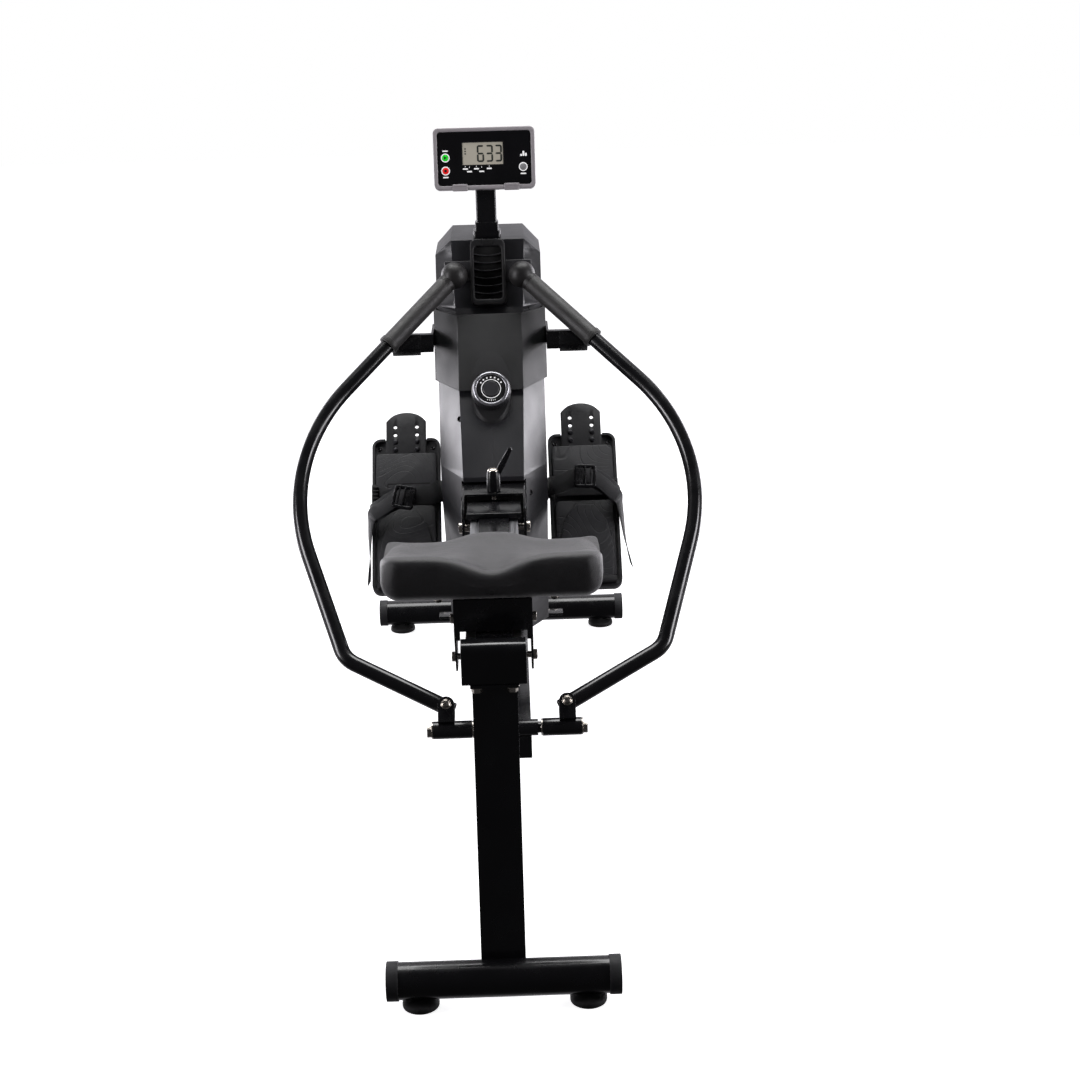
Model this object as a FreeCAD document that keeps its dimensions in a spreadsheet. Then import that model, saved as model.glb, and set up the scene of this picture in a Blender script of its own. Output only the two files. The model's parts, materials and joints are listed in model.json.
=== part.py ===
import FreeCAD, Part
import math
import os
import Sketcher
from FreeCAD import Placement, Rotation, Vector

# A rowing machine with two swinging oar arms.  X is across, +Y is forward (from the rower towards the
# monitor), +Z is up.  The origin is the middle of the footprint, on the floor.  Millimetres throughout.

SIZES = {
    # stabilisers and feet
    "wheelbase": 1376, "stabiliser_radius": 25, "stabiliser_height": 38, "stabiliser_wall": 2.5,
    "rear_half": 157, "front_half": 249, "cap_radius": 26.5, "cap_length": 16, "cap_end": 3,
    "rear_foot_x": 112.6, "front_foot_x": 203.9, "foot_radius": 25, "foot_stud_radius": 5,
    # rail and rear leg
    "rail_width": 48, "rail_top": 472, "rail_depth": 40, "tube_wall": 2.5, "rail_rear": -590,
    "rail_front": 62,
    "track_width": 14, "track_depth": 25, "track_top": 467, "leg_width": 60, "leg_depth": 34,
    "leg_lean": 12.1,
    "box_half": 43, "box_rear": -616, "box_top": 488, "box_bottom": 432, "box_round": 12,
    # seat and carriage
    "carriage_half": 53, "carriage_rear": -538, "carriage_length": 178, "carriage_top": 522,
    "plate_gauge": 3, "roller_radius": 17, "lower_roller_radius": 13, "roller_width": 12,
    "seat_half": 150, "seat_rear": -553, "seat_front": -348, "seat_bottom": 523,
    # folding bracket
    "pivot_y": 12, "pivot_z": 441, "pivot_radius": 6, "cheek_inner": 48, "cheek_gauge": 4,
    "bracket_top": 488, "bracket_bottom": 409, "lever_y": 59,
    # low beam and arm axle
    "beam_half": 38, "beam_shift": 11.5, "beam_rear": -193, "beam_front": 640, "beam_top": 170, "beam_depth": 48,
    "axle_y": -188, "axle_z": 173, "axle_radius": 9, "collar_radius": 13, "collar_half": 48.5,
    "sleeve_radius": 14, "sleeve_inner": 55.5, "sleeve_outer": 117,
    # oar arms, in the plane through the axle that leans by arm_tilt
    "arm_tilt": 51, "ear_x": 95.5, "ear_up": 36.5, "ear_radius": 13, "ear_gap": 13.5, "ear_gauge": 6,
    "ear_bolt_radius": 5, "arm_radius": 12.7, "arm_wall": 2, "grip_radius": 16,
    "grip_collar_radius": 17.5, "ball_radius": 23,
    "ball_x": 58.5, "ball_up": 806, "grip_length": 175,
    # housing
    "housing_half": 93, "spine_half": 50, "housing_wall": 3, "housing_bend": 740,
    "post_half": 20, "post_y": 392, "post_depth": 26, "post_top": 848,
    # tension knob
    "knob_y": 198, "knob_z": 622, "knob_tilt": 32, "knob_radius": 34, "pod_radius": 33, "pod_y": 204,
    # mast and monitor
    "mast_half": 18, "hinge_y": 392, "hinge_z": 942, "monitor_half": 87, "monitor_tilt": 12,
    # foot plates
    "pedal_y": 312, "pedal_z": 401, "pedal_tilt": 50, "pedal_rod_radius": 8, "pedal_inner": 97,
    "pedal_outer": 219, "pedal_heel": -190, "pedal_toe": 105, "toe_step": 9,
    # flywheel
    "flywheel_y": 545, "flywheel_z": 350, "flywheel_radius": 120,
}

RUNNING = 0.05          # radial clearance of a pin in its bore
REST_GAP = 0.6          # air between a moving piece and the stop that it rests on

ORIGIN_PLANES = {"XY": "XY_Plane", "XZ": "XZ_Plane", "YZ": "YZ_Plane"}
ALONG = {"x": Rotation(Vector(0, 1, 0), 90), "y": Rotation(Vector(1, 0, 0), -90), "z": Rotation()}

doc = FreeCAD.newDocument("RowingMachine")
sheet = doc.addObject("Spreadsheet::Sheet", "dims")
for line, (alias, value) in enumerate(SIZES.items(), start=1):
    sheet.set("A%d" % line, alias)
    sheet.set("B%d" % line, str(value))
    sheet.setAlias("B%d" % line, alias)
doc.recompute()

nodes = []


def size(alias):
    return float(sheet.get(alias))


# ---------------------------------------------------------------- building blocks

def place(obj, corner):
    for axis, text in zip("xyz", corner):
        obj.setExpression("Placement.Base." + axis, str(text))
    return obj


def box(name, sides, corner):
    """A block: its three sides and its lowest corner are expressions over the sheet."""
    block = doc.addObject("Part::Box", name)
    for prop, text in zip(("Length", "Width", "Height"), sides):
        block.setExpression(prop, str(text))
    return place(block, corner)


def cylinder(name, radius, length, base, along="z"):
    rod = doc.addObject("Part::Cylinder", name)
    rod.setExpression("Radius", str(radius))
    rod.setExpression("Height", str(length))
    rod.Placement = Placement(Vector(), ALONG[along])
    return place(rod, base)


def cone(name, lower, upper, length, base, along="z"):
    taper = doc.addObject("Part::Cone", name)
    taper.setExpression("Radius1", str(lower))
    taper.setExpression("Radius2", str(upper))
    taper.setExpression("Height", str(length))
    taper.Placement = Placement(Vector(), ALONG[along])
    return place(taper, base)


def fuse(name, pieces):
    joined = doc.addObject("Part::MultiFuse", name)
    joined.Shapes = pieces
    joined.Refine = True
    return joined


def cut(name, base, tools):
    """The base with each tool taken away in turn."""
    for number, tool in enumerate(tools):
        cutting = doc.addObject("Part::Cut", "%s_cut%d" % (name, number))
        cutting.Base = base
        cutting.Tool = tool
        base = cutting
    return base


def group(name, pieces):
    """Separate solids that share one node."""
    together = doc.addObject("Part::Compound", name)
    together.Links = pieces
    return together


def ring(name, outer, inner, length, base, along):
    return cut(name, cylinder(name + "_outer", outer, length, base, along),
               [cylinder(name + "_bore", inner, length, base, along)])


def round_edges(name, base, radius, chosen):
    """Part fillets on the base's edges that the chosen function picks."""
    doc.recompute()
    picked = [i + 1 for i, edge in enumerate(base.Shape.Edges) if chosen(edge)]
    rounded = doc.addObject("Part::Fillet", name)
    rounded.Base = base
    rounded.Edges = [(i, radius, radius) for i in picked]
    return rounded


def lies_along(axis):
    """Picks straight edges parallel to an axis."""
    def test(edge):
        ends = edge.Vertexes
        if len(ends) != 2 or edge.Curve.TypeId != "Part::GeomLine":
            return False
        run = (ends[1].Point - ends[0].Point).normalize()
        return abs(abs(run.dot(axis)) - 1) < 1e-6
    return test


def node(obj, label):
    obj.Label = label
    nodes.append(obj)
    return obj


def stood(obj, frame):
    """The object's own local frame, set into the machine."""
    obj.Placement = frame
    return obj


def mirrored(name, source):
    copy = doc.addObject("Part::Mirroring", name)
    copy.Source = source
    copy.Base = Vector(0, 0, 0)
    copy.Normal = Vector(1, 0, 0)
    return copy


def body_sketch(name, plane):
    body = doc.addObject("PartDesign::Body", name)
    sketch = body.newObject("Sketcher::SketchObject", name + "_sketch")
    role = ORIGIN_PLANES[plane]
    own_plane = [f for f in body.Origin.OriginFeatures if f.Role == role][0]
    sketch.AttachmentSupport = [(own_plane, "")]
    sketch.MapMode = "FlatFace"
    return body, sketch


def closed_outline(sketch, points):
    """Straight sides through the points, joined corner to corner."""
    count = len(points)
    for i, (u, v) in enumerate(points):
        u2, v2 = points[(i + 1) % count]
        sketch.addGeometry(Part.LineSegment(Vector(u, v, 0), Vector(u2, v2, 0)), False)
    for i in range(count):
        sketch.addConstraint(Sketcher.Constraint("Coincident", i, 2, (i + 1) % count, 1))


def padded_outline(name, plane, points, width):
    """A PartDesign body: an outline padded the same way on both sides of its plane."""
    body, sketch = body_sketch(name, plane)
    closed_outline(sketch, points)
    pad = body.newObject("PartDesign::Pad", name + "_pad")
    pad.Profile = sketch
    pad.Midplane = True
    pad.setExpression("Length", width)
    return body


def tube_body(name, half_length, height):
    """A round tube across the machine: a ring sketch padded both ways."""
    body, sketch = body_sketch(name, "YZ")
    centre = Vector(0, 0, 0)
    sketch.addGeometry(Part.Circle(centre, Vector(0, 0, 1), size("stabiliser_radius")), False)
    sketch.addGeometry(Part.Circle(centre, Vector(0, 0, 1), size("stabiliser_radius") - 2), False)
    for i in (0, 1):
        sketch.addConstraint(Sketcher.Constraint("Coincident", i, 3, -1, 1))
    sketch.addConstraint(Sketcher.Constraint("Radius", 0, size("stabiliser_radius")))
    sketch.addConstraint(Sketcher.Constraint("Radius", 1, size("stabiliser_radius") - 2))
    sketch.setExpression("Constraints[2]", "dims.stabiliser_radius")
    sketch.setExpression("Constraints[3]", "dims.stabiliser_radius - dims.stabiliser_wall")
    pad = body.newObject("PartDesign::Pad", name + "_pad")
    pad.Profile = sketch
    pad.Midplane = True
    pad.setExpression("Length", "2 * (%s - dims.cap_end - 0.2)" % half_length)
    place(body, ("0", height, "dims.stabiliser_height"))
    return body


# ---------------------------------------------------------------- stabilisers and feet

def stabiliser(end, half, y, foot_x):
    tube = tube_body(end + "_tube", half, y)
    holes = []
    for side in (-1, 1):
        spot = ("%d * %s" % (side, foot_x), y, "0")
        holes.append(cylinder("%s_foot_hole_%d" % (end, side), "dims.foot_stud_radius + %g" % RUNNING,
                              "dims.stabiliser_height", spot))
    return cut(end + "_stabiliser", tube, holes)


def end_caps(end, half, y):
    caps = []
    for side in (-1, 1):
        name = "%s_cap_%s" % (end, "left" if side < 0 else "right")
        start = "%s - dims.cap_length" % half if side > 0 else "-%s" % half
        bore = "%s - dims.cap_length" % half if side > 0 else "-%s + dims.cap_end" % half
        sleeve = cylinder(name + "_outer", "dims.cap_radius", "dims.cap_length",
                          (start, y, "dims.stabiliser_height"), "x")
        inside = cylinder(name + "_inner", "dims.stabiliser_radius + 0.2", "dims.cap_length - dims.cap_end",
                          (bore, y, "dims.stabiliser_height"), "x")
        caps.append(cut(name, sleeve, [inside]))
    return group(end + "_caps", caps)


def levelling_foot(name, x, y):
    """A domed rubber disc under a threaded stud."""
    spot = (x, y)
    disc = cylinder(name + "_disc", "dims.foot_radius", 5, spot + ("0",))
    dome = cone(name + "_dome", "dims.foot_radius", "dims.foot_radius / 2", 4, spot + ("5",))
    boss = cylinder(name + "_boss", "dims.foot_stud_radius + 4", 2.5, spot + ("9",))
    stud = cylinder(name + "_stud", "dims.foot_stud_radius", 19, spot + ("9",))
    return fuse(name, [disc, dome, boss, stud])


def ends_of_the_machine():
    for end, half, y, foot_x in (("rear", "dims.rear_half", "-dims.wheelbase / 2", "dims.rear_foot_x"),
                                 ("front", "dims.front_half", "dims.wheelbase / 2", "dims.front_foot_x")):
        node(stabiliser(end, half, y, foot_x), end + "_stabiliser")
        node(end_caps(end, half, y), end + "_end_caps")
        for side, sign in (("left", -1), ("right", 1)):
            name = "%s_foot_%s" % (end, side)
            node(levelling_foot(name, "%d * %s" % (sign, foot_x), y), name)


# ---------------------------------------------------------------- rear leg and rail

def rear_leg():
    """A rectangular tube that leans forward from the stabiliser to a flange under the rail's end."""
    lean = size("leg_lean")
    flange_bottom = size("box_bottom") - 4
    leg = box("leg_tube", ("dims.leg_width", "dims.leg_depth", 460),
              ("-dims.leg_width / 2", "-dims.wheelbase / 2 + 5", "20"))
    leg.Placement = Placement(Vector(), Rotation(Vector(1, 0, 0), -lean))
    inside = box("leg_inside",
                 ("dims.leg_width - 2 * dims.tube_wall", "dims.leg_depth - 2 * dims.tube_wall", 460),
                 ("-dims.leg_width / 2 + dims.tube_wall", "-dims.wheelbase / 2 + 5 + dims.tube_wall", "20"))
    inside.Placement = Placement(Vector(), Rotation(Vector(1, 0, 0), -lean))
    above = box("leg_above", (200, 400, 200), ("-100", "-dims.wheelbase / 2 - 100", "%g" % flange_bottom))
    below = box("leg_below", (200, 200, 36), ("-100", "-dims.wheelbase / 2 - 100", "-4"))
    tube = cylinder("leg_weld", "dims.stabiliser_radius", 200,
                    ("-100", "-dims.wheelbase / 2", "dims.stabiliser_height"), "x")
    cut_leg = cut("leg", leg, [inside, above, below, tube])
    flange = box("leg_flange", ("dims.leg_width + 4", 74, 4),
                 ("-dims.leg_width / 2 - 2", "dims.box_rear - 2", "dims.box_bottom - 4"))
    return node(fuse("rear_leg", [cut_leg, flange]), "rear_leg")


def rail_brackets():
    """The folded bracket that closes the rail's rear end, and the saddle over its front end at the fold."""
    low, high = size("box_bottom"), size("box_top")
    rear, front = size("box_rear"), size("rail_rear")
    bend = size("box_round")
    turn = math.pi / 8
    arc = [(rear + bend - bend * math.cos(i * turn),
            high - bend + bend * math.sin(i * turn)) for i in range(5)]
    outline = [(rear, low)] + arc + [(front, high), (front, low)]
    end = padded_outline("rail_end", "YZ", outline, "2 * dims.box_half")
    plate = box("rail_saddle", (88, 62, 10), ("-44", "dims.pivot_y - 48", "dims.rail_top - 2"))
    bar = box("saddle_seat", ("dims.rail_width", 70, 10),
              ("-dims.rail_width / 2", "dims.pivot_y - 50", "dims.rail_top - 10"))
    return node(group("rail_brackets", [end, cut("saddle", plate, [bar])]), "rail_brackets")


def rail():
    length = "dims.rail_front - dims.rail_rear"
    bar = box("rail_bar", ("dims.rail_width", length, "dims.rail_depth"),
              ("-dims.rail_width / 2", "dims.rail_rear", "dims.rail_top - dims.rail_depth"))
    inside = box("rail_inside",
                 ("dims.rail_width - 2 * dims.tube_wall", length, "dims.rail_depth - 2 * dims.tube_wall"),
                 ("-dims.rail_width / 2 + dims.tube_wall", "dims.rail_rear",
                  "dims.rail_top - dims.rail_depth + dims.tube_wall"))
    tube = cut("rail_profile", bar, [inside])
    bore = cylinder("rail_bore", "dims.pivot_radius + %g" % RUNNING, 120,
                    ("-60", "dims.pivot_y", "dims.pivot_z"), "x")
    node(cut("rail_tube", tube, [bore]), "rail_tube")
    strips = []
    for side, x in (("left", "-dims.rail_width / 2 - dims.track_width"), ("right", "dims.rail_width / 2")):
        strip = box("track_" + side, ("dims.track_width", length, "dims.track_depth"),
                    (x, "dims.rail_rear", "dims.track_top - dims.track_depth"))
        hole = cylinder("track_bore_" + side, "dims.pivot_radius + %g" % RUNNING, 120,
                        ("-60", "dims.pivot_y", "dims.pivot_z"), "x")
        strips.append(cut("track_strip_" + side, strip, [hole]))
    node(group("track_strips", strips), "track_strips")


def hex_head(name, radius, height, base, along="z"):
    head = doc.addObject("Part::Prism", name)
    head.Polygon = 6
    head.setExpression("Circumradius", str(radius))
    head.setExpression("Height", str(height))
    head.Placement = Placement(Vector(), ALONG[along])
    return place(head, base)


def rail_bolts():
    """The two bolts that hold the rail's end box to the leg's flange, heads below."""
    bolts = []
    for side in (-1, 1):
        x = "%d * 23.5" % side
        name = "rail_bolt_%d" % side
        washer = cylinder(name + "_washer", 9, 2, (x, "dims.box_rear + 8", "dims.box_bottom - 6"))
        head = hex_head(name + "_head", 7.5, 6, (x, "dims.box_rear + 8", "dims.box_bottom - 12"))
        bolts.append(fuse(name, [washer, head]))
    return node(group("rail_bolts", bolts), "rail_bolts")


# ---------------------------------------------------------------- seat and carriage

def roller_place(which):
    """Row Y, Z and radius of a roller axle."""
    upper = size("track_top") + size("roller_radius") + 0.3
    lower = size("track_top") - size("track_depth") - size("lower_roller_radius") - 0.3
    rear = size("carriage_rear") + 32
    return {"rear_upper": (rear, upper, "dims.roller_radius"),
            "front_upper": (rear + 112, upper, "dims.roller_radius"),
            "lower": (rear, lower, "dims.lower_roller_radius")}[which]


def carriage():
    """A folded steel saddle: a top plate, two side plates that reach below the rail, and a rear skirt."""
    rear = size("carriage_rear")
    front = rear + size("carriage_length")
    top = size("carriage_top")
    side = [(rear, top), (front, top), (front, top - 49), (rear + 74, top - 59), (rear + 50, top - 109),
            (rear + 18, top - 109), (rear, top - 49)]
    inner = [(rear + 3, top - 3), (front + 5, top - 3), (front + 5, top - 120), (rear + 3, top - 120)]
    outer = padded_outline("carriage_outer", "YZ", side, "2 * dims.carriage_half")
    hollow = padded_outline("carriage_hollow", "YZ", inner, "2 * (dims.carriage_half - dims.plate_gauge)")
    skirt_gap = box("skirt_gap", (90, 12, 60), ("-45", "dims.carriage_rear - 4", "dims.rail_top - 55"))
    holes = []
    for which in ("rear_upper", "front_upper", "lower"):
        y, z, radius = roller_place(which)
        holes.append(cylinder("axle_hole_" + which, 4.5, 140, ("-70", y, z), "x"))
    return node(cut("seat_carriage", outer, [hollow, skirt_gap] + holes), "seat_carriage")


def roller_pair(which, label):
    """Two wheels that turn about one axle, each running on its own track strip."""
    y, z, radius = roller_place(which)
    wheels = []
    for side, x in (("left", "-dims.rail_width / 2 - 1.2 - dims.roller_width"),
                    ("right", "dims.rail_width / 2 + 1.2")):
        name = "%s_%s" % (label, side)
        wheels.append(ring(name, radius, 4.5 + RUNNING, "dims.roller_width", (x, y, z), "x"))
    return node(group(label, wheels), label)


def roller_bolts():
    """Axle bolts through the side plates, with heads and nuts outside."""
    bolts = []
    for which in ("rear_upper", "front_upper"):
        y, z, radius = roller_place(which)
        shaft = cylinder("axle_" + which, 4.5, 117, ("-58.5", y, z), "x")
        left = cylinder("axle_nut_" + which, 7, 5, ("-58.2", y, z), "x")
        right = cylinder("axle_head_" + which, 7, 5, ("53.2", y, z), "x")
        bolts.append(fuse("roller_bolt_" + which, [shaft, left, right]))
    y, z, radius = roller_place("lower")
    for side, start, head in (("left", "-58.5", "-58.2"), ("right", "24.6", "53.2")):
        shaft = cylinder("axle_lower_" + side, 4.5, 33.9, (start, y, z), "x")
        cap = cylinder("axle_lower_head_" + side, 7, 5, (head, y, z), "x")
        bolts.append(fuse("roller_bolt_lower_" + side, [shaft, cap]))
    return node(group("roller_bolts", bolts), "roller_bolts")


def seat_pad():
    """The moulded pad: raised at the back, lower at the front, rounded all round."""
    rear, front, low = size("seat_rear"), size("seat_front"), size("seat_bottom")
    outline = [(rear + 6, low), (rear, low + 22), (rear + 4, low + 56), (rear + 26, low + 60),
               (rear + 95, low + 48),
               (front - 45, low + 40), (front - 8, low + 33), (front, low + 14), (front - 20, low)]
    pad = padded_outline("seat_block", "YZ", outline, "2 * dims.seat_half")
    doc.recompute()
    rounded = round_edges("seat_pad", pad, 12,
                          lambda edge: abs(edge.CenterOfMass.x) > size("seat_half") - 0.1)
    return node(rounded, "seat_pad")


# ---------------------------------------------------------------- folding bracket and clamping lever

def fold_bracket():
    """Two cheeks with a top plate over the rail's front end, on a spine that reaches the post."""
    height = "dims.bracket_top - dims.bracket_bottom"
    bottom = "dims.bracket_bottom"
    cheeks = [box("cheek_left", ("dims.cheek_gauge", 145, height),
                  ("-dims.cheek_inner - dims.cheek_gauge", "dims.pivot_y - 45", bottom)),
              box("cheek_right", ("dims.cheek_gauge", 145, height),
                  ("dims.cheek_inner", "dims.pivot_y - 45", bottom))]
    top = box("bracket_plate", ("2 * dims.cheek_inner + 2 * dims.cheek_gauge", 67, 4),
              ("-dims.cheek_inner - dims.cheek_gauge", "dims.pivot_y + 33", "dims.bracket_top - 4"))
    back = box("bracket_back", ("2 * dims.cheek_inner", 6, height),
               ("-dims.cheek_inner", "dims.pivot_y + 94", bottom))
    spine = box("bracket_spine", (44, "dims.post_y - dims.post_depth / 2 - dims.pivot_y - 100", 55),
                ("-22", "dims.pivot_y + 100", "dims.bracket_bottom + 10"))
    stud_hole = cylinder("stud_hole", 4 + RUNNING, 40, ("0", "dims.lever_y", "dims.bracket_top - 30"))
    bolt_hole = cylinder("pivot_hole", "dims.pivot_radius", 140, ("-70", "dims.pivot_y", "dims.pivot_z"), "x")
    solid = fuse("bracket_solid", cheeks + [top, back, spine])
    return node(cut("fold_bracket", solid, [stud_hole, bolt_hole]), "fold_bracket")


def clamp_lever():
    """An adjustable clamping lever: stud, round hub and an arm that rises to one side."""
    stud = cylinder("lever_stud", 4, 14, ("0", "dims.lever_y", "dims.bracket_top - 13"))
    hub = cylinder("lever_hub", 11.5, 36, ("0", "dims.lever_y", "dims.bracket_top + %g" % REST_GAP))
    dome = cone("lever_dome", 11.5, 8, 7, ("0", "dims.lever_y", "dims.bracket_top + 36 + %g" % REST_GAP))
    arm = cone("lever_arm", 7, 5, 48, ("2", "dims.lever_y", "dims.bracket_top + 34"))
    arm.Placement = Placement(Vector(), Rotation(Vector(0, 1, 0), 45))
    return node(fuse("clamp_lever", [stud, hub, dome, arm]), "clamp_lever")


# ---------------------------------------------------------------- low beam, post and arm axle

def low_beam():
    """The low beam, and at its front a web and plate that sit on the front stabiliser."""
    beam = box("beam_bar", ("2 * dims.beam_half", "dims.beam_front - dims.beam_rear", "dims.beam_depth"),
               ("dims.beam_shift - dims.beam_half", "dims.beam_rear", "dims.beam_top - dims.beam_depth"))
    inside = box("beam_inside",
                 ("2 * dims.beam_half - 2 * dims.tube_wall", "dims.beam_front - dims.beam_rear - 10",
                                 "dims.beam_depth - 2 * dims.tube_wall"),
                 ("dims.beam_shift - dims.beam_half + dims.tube_wall", "dims.beam_rear + 5",
                  "dims.beam_top - dims.beam_depth + dims.tube_wall"))
    tube_beam = cut("beam_profile", beam, [inside])
    web = box("foot_web", (60, 40, "dims.beam_top - dims.beam_depth - 45"),
              ("-30", "dims.wheelbase / 2 - 88", "45"))
    plate = box("foot_plate_bar", (250, 26, 5), ("-125", "dims.wheelbase / 2 - 75", "50"))
    front = box("foot_front", (60, 70, 30), ("-30", "dims.wheelbase / 2 - 88", "30"))
    notch = cylinder("beam_notch", "dims.collar_radius", 160, ("-80", "dims.axle_y", "dims.axle_z"), "x")
    tube = cylinder("foot_weld", "dims.stabiliser_radius", 300,
                    ("-150", "dims.wheelbase / 2", "dims.stabiliser_height"), "x")
    return node(cut("beam", fuse("beam_solid", [tube_beam, web, plate, front]), [notch, tube]), "low_beam")


def upright_post():
    """The post inside the housing, from the low beam up to the mast."""
    post = box("post_bar", ("2 * dims.post_half", "dims.post_depth", "dims.post_top - dims.beam_top"),
               ("-dims.post_half", "dims.post_y - dims.post_depth / 2", "dims.beam_top"))
    rod_hole = cylinder("post_hole", "dims.pedal_rod_radius", 80, ("-40", "dims.pedal_y", "dims.pedal_z"),
                        "x")
    return node(cut("upright_post", post, [rod_hole]), "upright_post")


def arm_axle():
    rod = cylinder("axle_rod", "dims.axle_radius", "2 * dims.sleeve_outer + 18",
                   ("dims.beam_shift - dims.sleeve_outer - 9", "dims.axle_y", "dims.axle_z"), "x")
    collar = cylinder("axle_collar", "dims.collar_radius", "2 * dims.collar_half",
                      ("dims.beam_shift - dims.collar_half", "dims.axle_y", "dims.axle_z"), "x")
    return node(fuse("arm_axle", [rod, collar]), "arm_axle")


def frame_bolts():
    """Fasteners of the front frame: axle washers and end nuts, the fold pivot bolt, the stabiliser bolts and
    the monitor's hinge pin."""
    bolts = []
    where = ("dims.axle_y", "dims.axle_z")
    for side in (-1, 1):
        tag = "left" if side < 0 else "right"
        inner = "dims.beam_shift + " + ("dims.sleeve_inner - 2.3" if side > 0 else "0.3 - dims.sleeve_inner")
        outer = "dims.beam_shift + " + ("dims.sleeve_outer + 0.3" if side > 0 else "-dims.sleeve_outer - 2.3")
        nut = "dims.beam_shift + " + ("dims.sleeve_outer + 2.4" if side > 0 else "-dims.sleeve_outer - 9.4")
        bolts.append(ring("inner_washer_" + tag, 13.5, 9 + RUNNING, 2, (inner,) + where, "x"))
        bolts.append(ring("outer_washer_" + tag, 13.5, 9 + RUNNING, 2, (outer,) + where, "x"))
        hexagon = hex_head("axle_hex_" + tag, 12.5, 7, (nut,) + where, "x")
        hole = cylinder("axle_hex_bore_" + tag, 9 + RUNNING, 7, (nut,) + where, "x")
        bolts.append(cut("axle_nut_%s_ring" % tag, hexagon, [hole]))
        spot = ("%d * 120 - 9" % side, "dims.wheelbase / 2",
                "dims.stabiliser_height + dims.stabiliser_radius + 0.1")
        bolts.append(cylinder("stabiliser_bolt_" + tag, 9, 6, spot))
    pivot = ("dims.pivot_y", "dims.pivot_z")
    shaft = cylinder("pivot_shaft", "dims.pivot_radius", 104, ("-52",) + pivot, "x")
    heads = [cylinder("pivot_head_left", 9, 6, ("-58",) + pivot, "x"),
             cylinder("pivot_head_right", 9, 6, ("52",) + pivot, "x")]
    bolts.append(fuse("pivot_bolt", [shaft] + heads))
    bolts.append(cylinder("monitor_pin", 3, 50, ("-25", "dims.hinge_y", "dims.hinge_z"), "x"))
    return node(group("frame_bolts", bolts), "frame_bolts")


# ---------------------------------------------------------------- oar arms

def arm_frame():
    """The arms' plane: its second axis runs up the arm, its third axis faces the rower."""
    return Placement(Vector(size("beam_shift"), size("axle_y"), size("axle_z")),
                     Rotation(Vector(1, 0, 0), size("arm_tilt")))


def arm_sleeve():
    """The right sleeve, in the arms' plane: a bored tube, a bridge and two ears round the arm's foot."""
    inner, outer = "dims.sleeve_inner", "dims.sleeve_outer"
    tube = cylinder("sleeve_tube", "dims.sleeve_radius", "%s - %s" % (outer, inner), (inner, "0", "0"), "x")
    across = "2 * dims.ear_gap + 2 * dims.ear_gauge"
    bridge = box("ear_bridge", ("2 * dims.ear_radius", 11, across),
                 ("dims.ear_x - dims.ear_radius", "8", "-dims.ear_gap - dims.ear_gauge"))
    pieces = [tube, bridge]
    for name, level in (("front_ear", "dims.ear_gap"), ("back_ear", "-dims.ear_gap - dims.ear_gauge")):
        pieces.append(box(name + "_plate", ("2 * dims.ear_radius", "dims.ear_up - 10", "dims.ear_gauge"),
                          ("dims.ear_x - dims.ear_radius", "10", level)))
        pieces.append(cylinder(name + "_round", "dims.ear_radius", "dims.ear_gauge",
                               ("dims.ear_x", "dims.ear_up", level)))
    axle_bore = cylinder("sleeve_bore", "dims.axle_radius + %g" % RUNNING, 90, ("45", "0", "0"), "x")
    bolt_bore = cylinder("ear_bore", "dims.ear_bolt_radius", 60, ("dims.ear_x", "dims.ear_up", "-30"))
    return cut("sleeve", fuse("sleeve_solid", pieces), [axle_bore, bolt_bore])


def ear_bolt():
    spot = ("dims.ear_x", "dims.ear_up")
    edge = "dims.ear_gap + dims.ear_gauge"
    shaft = cylinder("ear_shaft", "dims.ear_bolt_radius", "2 * (%s) + 2" % edge, spot + ("-(%s) - 2" % edge,))
    washer = cylinder("ear_washer", 8.2, 2, spot + (edge,))
    head = cone("ear_head", 6.4, 5, 4.5, spot + ("%s + 2" % edge,))
    nut = cylinder("ear_nut", 8.5, 7, spot + ("-(%s) - 7" % edge,))
    return fuse("ear_bolt", [shaft, washer, head, nut])


def arm_route():
    """Corner points of the arm's centre line in the arms' plane, and the bend radius at each inner one."""
    foot = Vector(size("ear_x"), size("ear_up"), 0)
    elbow = Vector(255.5, 124, 0)
    shoulder = Vector(364.5, 469.4, 0)
    ball = Vector(size("ball_x"), size("ball_up"), 0)
    return [foot, elbow, shoulder, ball], [45, 300]


def bent_wire(points, radii):
    """A wire through the points whose inner corners are arcs."""
    edges = []
    start = points[0]
    for i, radius in enumerate(radii, start=1):
        before = (points[i] - points[i - 1]).normalize()
        after = (points[i + 1] - points[i]).normalize()
        turn = before.getAngle(after)
        reach = radius * math.tan(turn / 2)
        first = points[i] - before * reach
        last = points[i] + after * reach
        inward = (after - before).normalize()
        middle = points[i] + inward * (radius / math.cos(turn / 2) - radius)
        edges.append(Part.LineSegment(start, first).toShape())
        edges.append(Part.Arc(first, middle, last).toShape())
        start = last
    edges.append(Part.LineSegment(start, points[-1]).toShape())
    return Part.Wire(edges)


def arm_tube():
    """The right arm's bent tube, with a crosswise hole for the ear bolt in its foot."""
    points, radii = arm_route()
    along = (points[1] - points[0]).normalize()
    towards_ball = (points[-1] - points[-2]).normalize()
    points[0] = points[0] - along * 12
    points[-1] = points[-1] - towards_ball * (size("ball_radius") - 1)
    path = bent_wire(points, radii)
    solid, hollow = [path.makePipeShell([Part.Wire(Part.Circle(points[0], along, radius).toShape())],
                                        True, True)
                     for radius in (size("arm_radius"), size("arm_radius") - size("arm_wall"))]
    solid = solid.cut(hollow)
    hole = Part.makeCylinder(size("ear_bolt_radius") + RUNNING, 60,
                             Vector(size("ear_x"), size("ear_up"), -30))
    return solid.cut(hole)


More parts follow.
